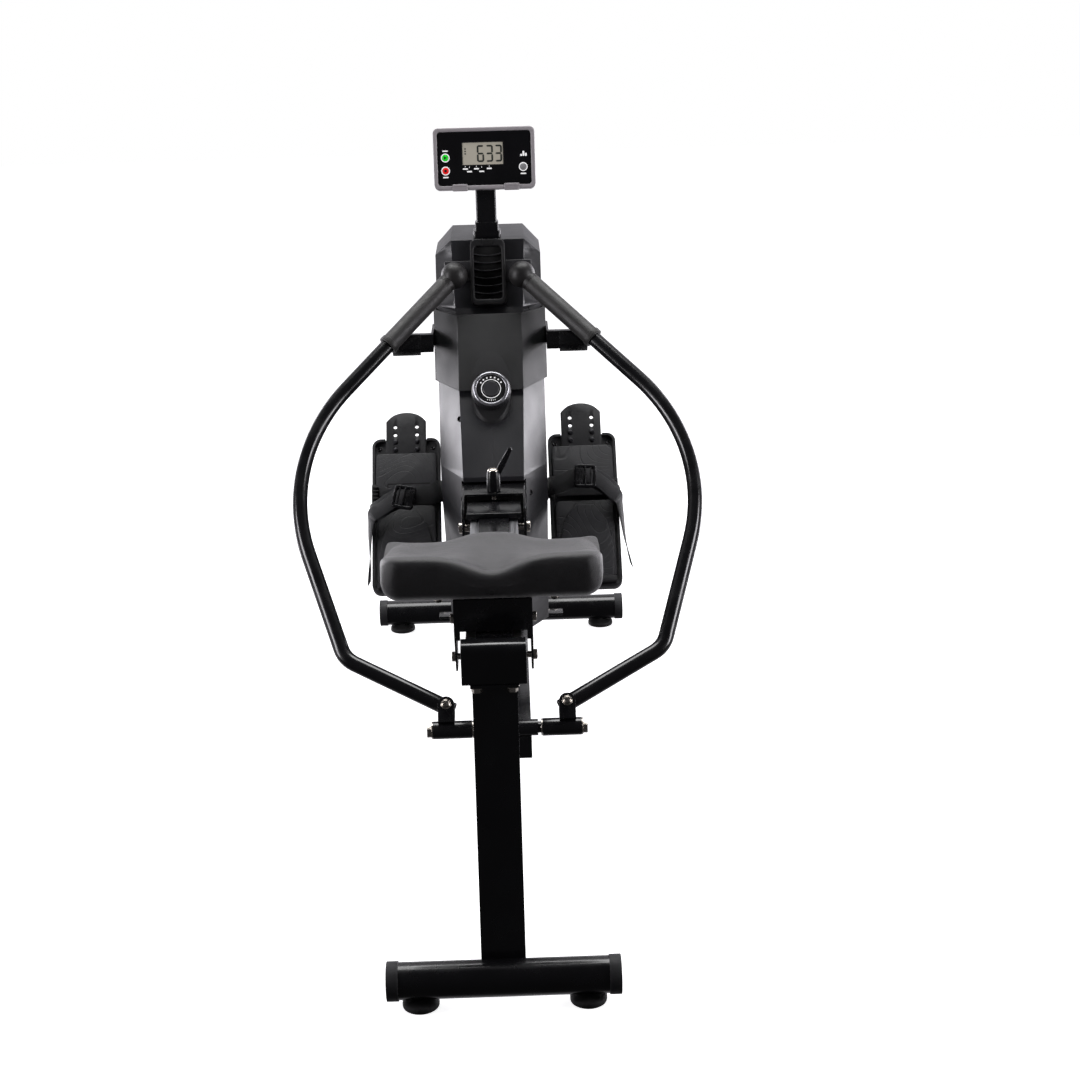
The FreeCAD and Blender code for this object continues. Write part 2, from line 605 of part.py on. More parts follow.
def grip_run():
    """Where the grip starts, its direction towards the ball, and its length."""
    points, radii = arm_route()
    direction = (points[-1] - points[-2]).normalize()
    start = points[-1] - direction * size("grip_length")
    return start, direction, size("grip_length") - size("ball_radius") + 2


def grip():
    start, direction, length = grip_run()
    sleeve = Part.makeCylinder(size("grip_radius"), length - 3, start, direction)
    collar = Part.makeCylinder(size("grip_collar_radius"), 9, start, direction)
    bore = Part.makeCylinder(size("arm_radius") + 0.1, length + 10, start - direction * 5, direction)
    return sleeve.fuse(collar).cut(bore)


def ball():
    start, direction, length = grip_run()
    centre = Vector(size("ball_x"), size("ball_up"), 0)
    knob = Part.makeSphere(size("ball_radius"), centre)
    neck = Part.makeCylinder(size("grip_radius"), size("ball_radius"),
                             centre - direction * (size("ball_radius") + 1),
                             direction)
    socket = Part.makeCylinder(size("arm_radius") + 0.1, 40, centre - direction * 61, direction)
    knob = knob.fuse(neck).cut(Part.makeCylinder(40, 40, centre - direction * (size("ball_radius") + 41),
                                                 direction))
    return knob.cut(socket)


def from_shape(name, shape, frame):
    """A feature that holds a computed shape; its Placement is set after its Shape."""
    feature = doc.addObject("Part::Feature", name)
    feature.Shape = shape
    feature.Placement = frame
    return feature


def both_arms():
    frame = arm_frame()
    flip = Vector(1, 0, 0)
    reach = size("ball_up") - size("ear_up")
    lean = Rotation(Vector(0, 0, 1), math.degrees(math.atan(size("beam_shift") / reach)))
    turned = [frame.multiply(Placement(Vector(), lean, Vector(side * size("ear_x"), size("ear_up"), 0)))
              for side in (-1, 1)]
    for label, shape in (("arm_tube", arm_tube()), ("arm_grip", grip()), ("arm_ball", ball())):
        node(from_shape(label + "_r", shape, turned[1]), label + "_right")
        node(from_shape(label + "_l", shape.mirror(Vector(), flip), turned[0]), label + "_left")
    for label, source in (("arm_sleeve", arm_sleeve()), ("ear_bolt", ear_bolt())):
        doc.recompute()
        left = mirrored(label + "_l", source)
        source.Placement = Placement()
        node(stood(group(label + "_r", [source]), frame), label + "_right")
        node(stood(group(label + "_left_holder", [left]), frame), label + "_left")


# ---------------------------------------------------------------- housing

def spine_profile():
    """Side outline of the housing's narrow middle, as (Y, Z), from the rear foot round by the front."""
    return [(430, 92), (312, 200), (112, 392), (98, 412), (100, 500), (247, 650), (332, 740), (374, 852),
            (545, 852), (600, 800), (690, 560), (695, 300), (654, 92)]


def side_profile():
    """The same outline at the housing's flat sides, drawn in at the back and the top."""
    return [(466, 105), (377, 230), (262, 405), (245, 440), (247, 480), (317, 650), (366, 740), (404, 822),
            (536, 822), (584, 778), (670, 552), (675, 300), (640, 105)]


def inset(points, depth):
    """The outline moved inwards by the depth on every side."""
    count = len(points)
    following = points[1:] + points[:1]
    area = sum(here[0] * after[1] - after[0] * here[1] for here, after in zip(points, following))
    turn = 1 if area > 0 else -1
    lines = []
    for i in range(count):
        (u, v), (u2, v2) = points[i], points[(i + 1) % count]
        run = math.hypot(u2 - u, v2 - v)
        normal = (-(v2 - v) / run * turn, (u2 - u) / run * turn)
        lines.append((normal, normal[0] * u + normal[1] * v + depth))
    moved = []
    for i in range(count):
        (a, b), c = lines[i - 1]
        (d, e), f = lines[i]
        det = a * e - b * d
        moved.append(((c * e - b * f) / det, (a * f - c * d) / det))
    return moved


def ruled_solid(sections):
    """A solid through (x, outline) sections, with straight sides between them."""
    wires = []
    for x, outline in sections:
        corners = [Vector(x, y, z) for y, z in outline]
        wires.append(Part.makePolygon(corners + corners[:1]))
    return Part.makeLoft(wires, True, True)


def housing_half():
    """The right half shell, open towards the middle, in two solids that meet at the spine's bend."""
    wall = size("housing_wall")
    spine, side = spine_profile(), side_profile()
    outer = ruled_solid([(0, spine), (size("spine_half"), spine), (size("housing_half"), side)])
    hollow = ruled_solid([(-1, inset(spine, wall)), (size("spine_half") - 1, inset(spine, wall)),
                          (size("housing_half") - wall, inset(side, wall))])
    shell = outer.cut(hollow)
    bracket_slot = Part.makeBox(54, 60, 86, Vector(0, 70, 406))
    beam_slot = Part.makeBox(size("beam_half") + size("beam_shift") + 0.5, 130, size("beam_depth") + 1,
                             Vector(0, 330, size("beam_top") - size("beam_depth") - 0.5))
    web_slot = Part.makeBox(32, 42, 25, Vector(-1, size("wheelbase") / 2 - 89, 80))
    rod_hole = Part.makeCylinder(size("pedal_rod_radius") + 1, 120,
                                 Vector(0, size("pedal_y"), size("pedal_z")), Vector(1, 0, 0))
    mast_hole = Part.makeBox(size("mast_half") + 0.5, 27, 20, Vector(0, size("post_y") - 13.5, 840))
    for tool in (bracket_slot, beam_slot, web_slot, rod_hole, mast_hole):
        shell = shell.cut(tool)
    bend = size("housing_bend")
    below = Part.makeBox(200, 900, bend, Vector(-50, 0, 0))
    above = Part.makeBox(200, 900, 400, Vector(-50, 0, bend))
    return Part.makeCompound([shell.common(below), shell.common(above)])


def housing():
    half = housing_half()
    node(from_shape("housing_r", half, Placement()), "housing_right")
    node(from_shape("housing_l", half.mirror(Vector(), Vector(1, 0, 0)), Placement()), "housing_left")


def guard_shell():
    """A matt band wrapped round the housing's back, open towards the front."""
    low, high = 622, 735
    middle = [(209, low), (297, high), (422, high), (422, low)]
    edge = [(293, low), (343, high), (422, high), (422, low)]
    reach, flat = size("housing_half") + 5, size("spine_half") + 5
    outer = ruled_solid([(-reach, edge), (-flat, middle), (flat, middle), (reach, edge)])
    inner_middle = [(206.4, low - 10), (309.6, high + 10), (440, high + 10), (440, low - 10)]
    inner_edge = [(292.6, low - 10), (352.4, high + 10), (440, high + 10), (440, low - 10)]
    inside = size("housing_half") + 1
    inner = ruled_solid([(-inside, inner_edge), (-flat, inner_middle), (flat, inner_middle),
                         (inside, inner_edge)])
    return node(from_shape("guard", outer.cut(inner), Placement()), "guard_shell")


def arm_clip(side):
    """One open cradle behind an arm: a bar off the guard, a cross bar and a block under the grip's collar."""
    frame = arm_frame()
    frame.Base.x = 0
    block = Part.makeBox(48, 27, 26, Vector(120, 677, -size("grip_collar_radius") - REST_GAP - 26))
    block.Placement = frame.multiply(block.Placement)
    wing = size("housing_half") + 5
    long_bar = Part.makeBox(4, 98, 27, Vector(wing, 274, 678))
    cross_bar = Part.makeBox(65, 15, 31, Vector(wing, 274, 676))
    clip = long_bar.fuse(cross_bar).fuse(block)
    return clip if side > 0 else clip.mirror(Vector(), Vector(1, 0, 0))


def arm_clips():
    pair = Part.makeCompound([arm_clip(-1), arm_clip(1)])
    return node(from_shape("clips", pair, Placement()), "arm_clips")


def ribbed_frame():
    """A rounded frame with seven cross ribs on the housing's back, and the cross bar behind it."""
    lower, upper = spine_profile()[6], spine_profile()[7]
    slope = math.degrees(math.atan2(upper[1] - lower[1], upper[0] - lower[0]))
    plate = box("ribs_plate", (62, 118, 12), ("-31", "0", "0"))
    rounded = round_edges("ribs_round", plate, 10, lies_along(Vector(0, 0, 1)))
    cut_out = box("ribs_window", (46, 98, 12), ("-23", "10", "3"))
    ribs = [box("rib_%d" % i, (48, 3, 8), ("-24", "%g" % (18 + 14 * i), "2")) for i in range(7)]
    bar = box("cross_bar", (152, 36, 4), ("-76", "44", "0"))
    ends = round_edges("cross_bar_round", bar, 8, lies_along(Vector(0, 0, 1)))
    whole = fuse("ribbed", [cut("ribs_frame", rounded, [cut_out]), ends] + ribs)
    out = Rotation(Vector(1, 0, 0), slope)
    normal = out.multVec(Vector(0, 0, 1))
    base = Vector(0, lower[0], lower[1]) + out.multVec(Vector(0, 2, 0)) + normal * 0.3
    return node(stood(whole, Placement(base, out)), "ribbed_frame")


def magnet_bracket():
    """A C-shaped yoke round the flywheel's rim, on the post."""
    y = size("flywheel_y") - size("flywheel_radius")
    post_front = size("post_y") + size("post_depth") / 2
    arm = Part.makeBox(76, y - post_front - 14, 24, Vector(-38, post_front, 338))
    yoke = Part.makeBox(76, 50, 24, Vector(-38, y - 14, 338))
    slot = Part.makeBox(54, 60, 30, Vector(-27, y - 8, 335))
    return node(from_shape("yoke", arm.fuse(yoke).cut(slot), Placement()), "magnet_bracket")


def flywheel():
    """Rim, web and hub in one, turning on a fixed shaft between the housing's sides."""
    where = ("dims.flywheel_y", "dims.flywheel_z")
    rim = ring("wheel_rim", "dims.flywheel_radius", "dims.flywheel_radius - 22", 36, ("-18",) + where, "x")
    web = cylinder("wheel_web", "dims.flywheel_radius - 20", 10, ("-5",) + where, "x")
    hub = cylinder("wheel_hub", 24, 60, ("-30",) + where, "x")
    bore = cylinder("wheel_bore", 8 + RUNNING, 90, ("-45",) + where, "x")
    node(cut("flywheel", fuse("wheel_solid", [rim, web, hub]), [bore]), "flywheel")


# ---------------------------------------------------------------- tension knob

def knob_frame():
    """Third axis out of the knob's face, towards the rower and up."""
    return Placement(Vector(0, size("knob_y"), size("knob_z")),
                     Rotation(Vector(1, 0, 0), 90 - size("knob_tilt")))


def knob_pod():
    """An upright round boss on the sloping face, with its top cut square to the knob's axis."""
    frame = knob_frame()
    boss = Part.makeCylinder(size("pod_radius"), 150, Vector(0, size("pod_y"), 540))
    above = Part.makeBox(200, 200, 150, Vector(-100, -100, 0))
    above.Placement = frame
    spine = spine_profile()
    foot, head = spine[4], spine[5]
    slope = math.degrees(math.atan2(head[1] - foot[1], head[0] - foot[0]))
    below = Part.makeBox(200, 400, 200, Vector(-100, -100, -199.9))
    below.Placement = Placement(Vector(0, foot[0], foot[1]), Rotation(Vector(1, 0, 0), slope))
    bore = Part.makeCylinder(4 + RUNNING, 40, Vector(0, 0, -20))
    bore.Placement = frame
    guard_room = Part.makeBox(200, 200, 200, Vector(-100, 0, 0))
    guard_slope = math.degrees(math.atan2(113, 88))
    guard_room.Placement = Placement(Vector(0, 208.5, 622), Rotation(Vector(1, 0, 0), guard_slope - 90))
    pod = boss.cut(above).cut(below).cut(bore).cut(guard_room)
    return node(from_shape("pod", pod, Placement()), "knob_pod")


def tension_knob():
    frame = knob_frame()
    body = cone("knob_cone", "dims.knob_radius", "dims.knob_radius - 3", 15, ("0", "0", "%g" % REST_GAP))
    pin = cylinder("knob_pin", 4, 18, ("0", "0", "-12"))
    node(stood(fuse("tension_knob", [body, pin]), frame), "tension_knob")
    bezel = ring("knob_bezel", "dims.knob_radius - 3.5", 24.5, 2.5, ("0", "0", "%g" % (15 + REST_GAP)), "z")
    node(stood(group("bezel_holder", [bezel]), frame), "knob_bezel")


# ---------------------------------------------------------------- mast and monitor

def mast():
    """A flat tube out of the housing's top, with a collar at its foot."""
    tube = box("mast_tube", ("2 * dims.mast_half", 26, "dims.hinge_z + 7 - 852"),
               ("-dims.mast_half", "dims.hinge_y - 13", "852"))
    rounded = round_edges("mast_round", tube, 4, lies_along(Vector(0, 0, 1)))
    collar = box("mast_collar", (48, 34, 14), ("-24", "dims.hinge_y - 17", "852.2"))
    soft = round_edges("collar_round", collar, 5, lies_along(Vector(0, 0, 1)))
    hole = cylinder("mast_pin_hole", 3, 60, ("-30", "dims.hinge_y", "dims.hinge_z"), "x")
    return node(cut("mast", fuse("mast_solid", [rounded, soft]), [hole]), "mast")


BUTTONS = {"button_start": (-67, 46), "button_stop": (-67, 24), "button_mode": (66.5, 28)}
BUTTON_RADIUS = 5.5


def monitor_frame():
    """Second axis into the case, third axis up its face; the hinge pin is the origin."""
    return Placement(Vector(0, size("hinge_y"), size("hinge_z")),
                     Rotation(Vector(1, 0, 0), -size("monitor_tilt")))


def monitor():
    frame = monitor_frame()
    case = box("monitor_block", ("2 * dims.monitor_half", 26, 104), ("-dims.monitor_half", "-41", "-8"))
    rounded = round_edges("monitor_round", case, 9, lies_along(Vector(0, 1, 0)))
    ears = []
    for side in (-1, 1):
        x = "19" if side > 0 else "-24"
        plate = box("monitor_ear_%d" % side, (5, 18, 14), (x, "-16", "-7"))
        tip = cylinder("monitor_ear_tip_%d" % side, 7, 5, (x, "2", "0"), "x")
        ears += [plate, tip]
    window = box("window_recess", (70.4, 4, 38.4), ("-37.7", "-43", "32.8"))
    tools = [window, cylinder("hinge_bore", 3 + RUNNING, 60, ("-30", "0", "0"), "x")]
    for label, (x, z) in BUTTONS.items():
        tools.append(cylinder(label + "_bore", BUTTON_RADIUS + RUNNING, 6.5, (x, "-42.5", z), "y"))
    node(stood(cut("monitor_case", fuse("monitor_solid", [rounded] + ears), tools), frame), "monitor_case")
    glass = box("lcd_glass", (70, 1.8, 38), ("-37.5", "-40.8", "33"))
    node(stood(group("lcd_holder", [glass]), frame), "lcd_window")
    for label, (x, z) in BUTTONS.items():
        cap = cylinder(label + "_cap", BUTTON_RADIUS, 4.5, (x, "-42.5", z), "y")
        node(stood(group(label + "_holder", [cap]), frame), label)


# ---------------------------------------------------------------- foot plates

def pedal_frame():
    """Second axis up the foot plate towards the toe, third axis out of its tread."""
    return Placement(Vector(0, size("pedal_y"), size("pedal_z")),
                     Rotation(Vector(1, 0, 0), size("pedal_tilt")))


def foot_plate():
    """The right foot plate in its own frame: tray, rim, heel stop and the lug that turns on the rod."""
    width = "dims.pedal_outer - dims.pedal_inner"
    length = "dims.pedal_toe - dims.pedal_heel"
    tray = box("tray_block", (width, length, 16), ("dims.pedal_inner", "dims.pedal_heel", "13"))
    rounded = round_edges("tray_round", tray, 16, lies_along(Vector(0, 0, 1)))
    hollow = box("tray_hollow", (width + " - 10", length + " - 10", 20),
                 ("dims.pedal_inner + 5", "dims.pedal_heel + 5", "23"))
    hollow_round = round_edges("tray_hollow_round", hollow, 11, lies_along(Vector(0, 0, 1)))
    lug = cylinder("pedal_lug", 15, 112, ("102", "0", "0"), "x")
    neck = box("pedal_neck", (112, 24, 16), ("102", "-12", "0"))
    heel = box("heel_stop", (100, 8, 26), ("108", "dims.pedal_heel + 6", "20"))
    bore = cylinder("pedal_bore", "dims.pedal_rod_radius + %g" % RUNNING, 140, ("90", "0", "0"), "x")
    notch = box("toe_notch", (75, 30, 20), ("120.5", "dims.pedal_toe - 10", "23"))
    open_tray = cut("tray", rounded, [hollow_round, notch])
    return cut("foot_plate", fuse("pedal_solid", [open_tray, lug, neck, heel]), [bore])


def toe_extension():
    """The sliding toe plate with its two columns of holes."""
    plate = box("toe_block", (72, 108, 4), ("122", "58", "23.4"))
    rounded = round_edges("toe_round", plate, 14, lies_along(Vector(0, 0, 1)))
    holes = []
    for column in (-1, 1):
        for level in range(2):
            holes.append(cylinder("toe_hole_%d_%d" % (column, level), 3.4, 10,
                                  ("158 + %g" % (column * 19.5), 122 + level * 15.5, "20")))
    return cut("toe_extension", rounded, holes)


def foot_strap():
    """The strap's band over the foot, with its two legs down the plate's sides."""
    outer = [(97 - 3.4, 16), (97 - 3.4, 44), (116, 72), (198, 72), (219 + 3.4, 44), (219 + 3.4, 16)]
    inner = [(219 + 0.4, 16), (219 + 0.4, 43), (197, 69), (117, 69), (97 - 0.4, 43), (97 - 0.4, 16)]
    corners = [Vector(x, -14, level) for x, level in outer + inner]
    face = Part.Face(Part.makePolygon(corners + corners[:1]))
    return face.extrude(Vector(0, 38, 0))


def both_pedals():
    frame = pedal_frame()
    strap = foot_strap()
    node(from_shape("strap_r", strap, frame), "foot_strap_right")
    node(from_shape("strap_l", strap.mirror(Vector(), Vector(1, 0, 0)), frame), "foot_strap_left")
    buckle = cut("buckle", box("buckle_block", (40, 46, 6), ("150", "-18", "72.3")),
                 [box("buckle_slot_%d" % i, (5, 40, 6), (156 + 11 * i, "-15", "72.3")) for i in range(3)])
    for label, source in (("foot_plate", foot_plate()), ("toe_extension", toe_extension()),
                          ("strap_buckle", buckle)):
        doc.recompute()
        left = mirrored(label + "_mirror", source)
        node(stood(group(label + "_right_holder", [source]), frame), label + "_right")
        lowered = Placement(Vector(0, -size("toe_step") if label == "toe_extension" else 0, 0), Rotation())
        node(stood(group(label + "_left_holder", [left]), frame.multiply(lowered)), label + "_left")


def shafts():
    """The fixed shafts across the front frame: the pedals' rod, and the flywheel's shaft in the housing."""
    rod = cylinder("pedal_rod", "dims.pedal_rod_radius", "2 * dims.pedal_outer - 8",
                   ("-dims.pedal_outer + 4", "dims.pedal_y", "dims.pedal_z"), "x")
    axle = cylinder("wheel_shaft", 8, "2 * dims.housing_half - 2 * dims.housing_wall - 1",
                    ("-dims.housing_half + dims.housing_wall + 0.5", "dims.flywheel_y",
                     "dims.flywheel_z"), "x")
    return node(group("frame_shafts", [rod, axle]), "frame_shafts")


# ---------------------------------------------------------------- the whole machine

def build():
    ends_of_the_machine()
    rear_leg()
    rail_brackets()
    rail()
    rail_bolts()
    carriage()
    for which, label in (("rear_upper", "rollers_rear"), ("front_upper", "rollers_front"),
                         ("lower", "rollers_lower")):
        roller_pair(which, label)
    roller_bolts()
    seat_pad()
    fold_bracket()
    clamp_lever()
    low_beam()
    upright_post()
    arm_axle()
    frame_bolts()
    both_arms()
    housing()
    guard_shell()
    arm_clips()
    ribbed_frame()
    magnet_bracket()
    flywheel()
    knob_pod()
    tension_knob()
    mast()
    monitor()
    both_pedals()
    shafts()
    doc.recompute()


def check():
    for obj in doc.Objects:
        if "Invalid" in obj.State or "Error" in obj.State:
            raise RuntimeError("%s failed: %s" % (obj.Name, obj.State))
    for obj in nodes:
        if obj.Shape.isNull() or not obj.Shape.isValid():
            raise RuntimeError("%s has no valid shape" % obj.Label)


def export():
    os.makedirs("parts", exist_ok=True)
    for obj in nodes:
        obj.Shape.exportStep("parts/%s.step" % obj.Label)


build()
check()
export()
print("%d nodes" % len(nodes))
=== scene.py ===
import json
import math

import bmesh
import bpy
from mathutils import Matrix, Vector


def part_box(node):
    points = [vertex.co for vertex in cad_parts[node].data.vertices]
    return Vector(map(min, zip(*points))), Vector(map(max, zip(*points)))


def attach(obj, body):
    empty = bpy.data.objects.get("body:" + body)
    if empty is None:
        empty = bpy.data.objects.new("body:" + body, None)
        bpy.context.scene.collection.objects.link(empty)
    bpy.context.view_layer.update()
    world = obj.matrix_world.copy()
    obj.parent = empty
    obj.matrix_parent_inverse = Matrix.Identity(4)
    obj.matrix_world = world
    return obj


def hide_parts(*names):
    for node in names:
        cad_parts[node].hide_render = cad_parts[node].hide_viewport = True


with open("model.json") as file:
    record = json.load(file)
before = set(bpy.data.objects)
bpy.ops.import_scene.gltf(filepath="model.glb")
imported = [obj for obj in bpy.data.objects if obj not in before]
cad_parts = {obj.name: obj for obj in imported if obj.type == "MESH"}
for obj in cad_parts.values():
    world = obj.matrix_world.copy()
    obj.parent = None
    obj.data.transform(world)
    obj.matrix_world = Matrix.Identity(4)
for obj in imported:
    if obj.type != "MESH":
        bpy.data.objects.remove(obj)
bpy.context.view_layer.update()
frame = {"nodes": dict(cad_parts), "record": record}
NODES = frame["nodes"]
SIDES = (("left", -1), ("right", 1))
BODY_OF = {n: b for b, members in frame["record"]["behaviour"]["bodies"].items() for n in members}
SLOT_OF = {entry["node"]: entry["material_slot"] for entry in frame["record"]["subparts"]}

# angles in degrees
SHARP_FROM = 32
SOFT_FROM = 28
PEDAL_TILT = 50
RIM_FOLD = 62

# housing, in metres
SEAM_HALF = 0.0012
ROOF_HEIGHT, ROOF_DEPTH = 0.850, 0.38
HOUSING_BEND = 0.740
SPINE_NEAR, SPINE_FAR, SPINE_DEPTH = 0.0485, 0.0505, 0.56
SPINE_START, SPINE_RUN, SPINE_GAIN = 0.45, 0.39, 0.014
SEAM_CREASE, RIM_CREASE, ROOF_FOLD, OTHER_FOLD = 0.04, 0.04, 1.0, 0.36

# monitor, in millimetres
CASE_CENTRE = (0, 44)
WINDOW_CENTRE = (-2.5, 52)
BUTTON_AT = {"button_start": (-67, 46), "button_stop": (-67, 24), "button_mode": (66.5, 28)}
PRINT_LOW, PRINT_HIGH = 41.3, 41.5
INK_LOW = 40.85

# foot plates, in millimetres
PLATE_X = 158
LEFT_DROP = 9
BAND_WIDTH, BAND_THICK = 36, 1.7
TAIL_WIDTH, TAIL_THICK = 27, 1.5

# seat, in millimetres
SEAT_HALF = 149.5
SEAT_END = 27.0
CLOTH_FRAMES = 14
CLOTH_LIMIT = 0.0025

# camera, fitted to the feet and stabilisers, in metres and degrees
CAMERA_AT = (0.0321, -2.7806, 1.3666)
CAMERA_PITCH, CAMERA_YAW, CAMERA_ROLL = 18.79, 0.85, -1.49
CAMERA_LENS, CAMERA_SENSOR = 60, 36
COOL_WHITE, SWEEP_WHITE = (0.98, 0.96, 1.0), (0.97, 0.95, 1.0)
STRIP_POWER, SWEEP_POWER, OVERHEAD_POWER = 46, 60, 66
FLOOR_GLOW = 0.86


# ---------------------------------------------------------------- materials

def surface(name, colour, rough, metallic=0.0, grain=(0.0, 0.0), tint=0.25, blotch=18.0, smear=0.08, coat=0.0,
            sheen=0.0, stretch=(1, 1, 1), extra=None, painted_glow=0.0):
    """A finish with its own colour drift, roughness drift and bump. grain is (scale, strength). Any emission
    strength given lights the finish evenly in its own colour: painted light, not a lamp.
    """
    mat = bpy.data.materials.new(name)
    mat.use_nodes = True
    tree = mat.node_tree
    new = tree.nodes.new
    link = tree.links.new
    shader = tree.nodes["Principled BSDF"]
    shader.inputs["Metallic"].default_value = metallic
    shader.inputs["Coat Weight"].default_value = coat
    shader.inputs["Coat Roughness"].default_value = 0.12
    shader.inputs["Sheen Weight"].default_value = sheen
    shader.inputs["Sheen Roughness"].default_value = 0.45
    # emission in the finish's own colour: painted light on parts that are no lamps
    shader.inputs["Emission Color"].default_value = list(colour) + [1]
    shader.inputs["Emission Strength"].default_value = painted_glow
    coords = new("ShaderNodeTexCoord")
    mapping = new("ShaderNodeMapping")
    mapping.inputs["Scale"].default_value = stretch
    link(coords.outputs["Object"], mapping.inputs["Vector"])

    drift = new("ShaderNodeTexNoise")
    drift.inputs["Scale"].default_value = blotch
    drift.inputs["Detail"].default_value = 5
    link(mapping.outputs["Vector"], drift.inputs["Vector"])
    ramp = new("ShaderNodeValToRGB")
    ramp.color_ramp.elements[0].position = 0.3
    ramp.color_ramp.elements[1].position = 0.72
    ramp.color_ramp.elements[0].color = [c * (1 - tint) for c in colour] + [1]
    ramp.color_ramp.elements[1].color = [min(c * (1 + tint), 1) for c in colour] + [1]
    link(drift.outputs["Fac"], ramp.inputs["Fac"])
    link(ramp.outputs["Color"], shader.inputs["Base Color"])

    patches = new("ShaderNodeTexNoise")
    patches.inputs["Scale"].default_value = blotch * 3.1
    patches.inputs["Detail"].default_value = 6
    link(mapping.outputs["Vector"], patches.inputs["Vector"])
    spread = new("ShaderNodeMapRange")
    spread.inputs["From Min"].default_value = 0.3
    spread.inputs["From Max"].default_value = 0.7
    spread.inputs["To Min"].default_value = max(rough - smear, 0.03)
    spread.inputs["To Max"].default_value = min(rough + smear, 1)
    link(patches.outputs["Fac"], spread.inputs["Value"])
    link(spread.outputs["Result"], shader.inputs["Roughness"])

    if grain[1]:
        fine = new("ShaderNodeTexNoise")
        fine.inputs["Scale"].default_value = grain[0]
        fine.inputs["Detail"].default_value = 3
        link(mapping.outputs["Vector"], fine.inputs["Vector"])
        bump = new("ShaderNodeBump")
        bump.inputs["Strength"].default_value = grain[1]
        bump.inputs["Distance"].default_value = 0.0006
        link(fine.outputs["Fac"], bump.inputs["Height"])
        link(bump.outputs["Normal"], shader.inputs["Normal"])
        if extra:
            extra(tree, mapping, fine, bump, shader)
    return mat


def pebbles(scale, depth):
    """Adds leather-like cells to a finish's bump."""
    def add(tree, mapping, fine, bump, shader):
        cells = tree.nodes.new("ShaderNodeTexVoronoi")
        cells.feature = "DISTANCE_TO_EDGE"
        cells.inputs["Scale"].default_value = scale
        tree.links.new(mapping.outputs["Vector"], cells.inputs["Vector"])
        ease = tree.nodes.new("ShaderNodeMapRange")
        ease.inputs["From Max"].default_value = 0.25
        ease.inputs["To Max"].default_value = depth
        tree.links.new(cells.outputs["Distance"], ease.inputs["Value"])
        total = tree.nodes.new("ShaderNodeMath")
        total.operation = "ADD"
        tree.links.new(fine.outputs["Fac"], total.inputs[0])
        tree.links.new(ease.outputs["Result"], total.inputs[1])
        tree.links.new(total.outputs["Value"], bump.inputs["Height"])
    return add


def contour_lines(count):
    """Adds thin wavy lines, like a map's contours, cut into a moulded pad."""
    def add(tree, mapping, fine, bump, shader):
        land = tree.nodes.new("ShaderNodeTexNoise")
        land.inputs["Scale"].default_value = 9
        land.inputs["Detail"].default_value = 0
        tree.links.new(mapping.outputs["Vector"], land.inputs["Vector"])
        steps = tree.nodes.new("ShaderNodeMath")
        steps.operation = "MULTIPLY"
        steps.inputs[1].default_value = count
        tree.links.new(land.outputs["Fac"], steps.inputs[0])
        saw = tree.nodes.new("ShaderNodeMath")
        saw.operation = "PINGPONG"
        saw.inputs[1].default_value = 0.5
        tree.links.new(steps.outputs["Value"], saw.inputs[0])
        line = tree.nodes.new("ShaderNodeMapRange")
        line.inputs["From Max"].default_value = 0.075
        line.inputs["To Min"].default_value = -3.0
        line.inputs["To Max"].default_value = 0.0
        tree.links.new(saw.outputs["Value"], line.inputs["Value"])
        total = tree.nodes.new("ShaderNodeMath")
        total.operation = "ADD"
        tree.links.new(fine.outputs["Fac"], total.inputs[0])
        tree.links.new(line.outputs["Result"], total.inputs[1])
        tree.links.new(total.outputs["Value"], bump.inputs["Height"])
    return add


def webbing_material():
    """Black polyester webbing: a twill of fine ribs along the strap, from the piece's own map in metres."""
    mat = bpy.data.materials.new("webbing_weave")
    mat.use_nodes = True
    tree = mat.node_tree
    new = tree.nodes.new
    link = tree.links.new
    shader = tree.nodes["Principled BSDF"]
    shader.inputs["Roughness"].default_value = 0.78
    shader.inputs["Sheen Weight"].default_value = 0.5
    shader.inputs["Sheen Roughness"].default_value = 0.35
    coords = new("ShaderNodeTexCoord")
    waves = []
    for direction, scale in (("X", 330.0), ("Y", 210.0)):
        wave = new("ShaderNodeTexWave")
        wave.bands_direction = direction
        wave.inputs["Scale"].default_value = scale
        wave.inputs["Distortion"].default_value = 0.6
        wave.inputs["Detail Scale"].default_value = 2.0
        link(coords.outputs["UV"], wave.inputs["Vector"])
        waves.append(wave)
    both = new("ShaderNodeMath")
    both.operation = "MULTIPLY"
    link(waves[0].outputs["Fac"], both.inputs[0])
    link(waves[1].outputs["Fac"], both.inputs[1])
    ramp = new("ShaderNodeValToRGB")
    ramp.color_ramp.elements[0].color = (0.006, 0.006, 0.007, 1)
    ramp.color_ramp.elements[1].color = (0.045, 0.045, 0.05, 1)
    link(both.outputs["Value"], ramp.inputs["Fac"])
    link(ramp.outputs["Color"], shader.inputs["Base Color"])
    bump = new("ShaderNodeBump")
    bump.inputs["Strength"].default_value = 0.5
    bump.inputs["Distance"].default_value = 0.0004
    link(both.outputs["Value"], bump.inputs["Height"])
    link(bump.outputs["Normal"], shader.inputs["Normal"])
    return mat


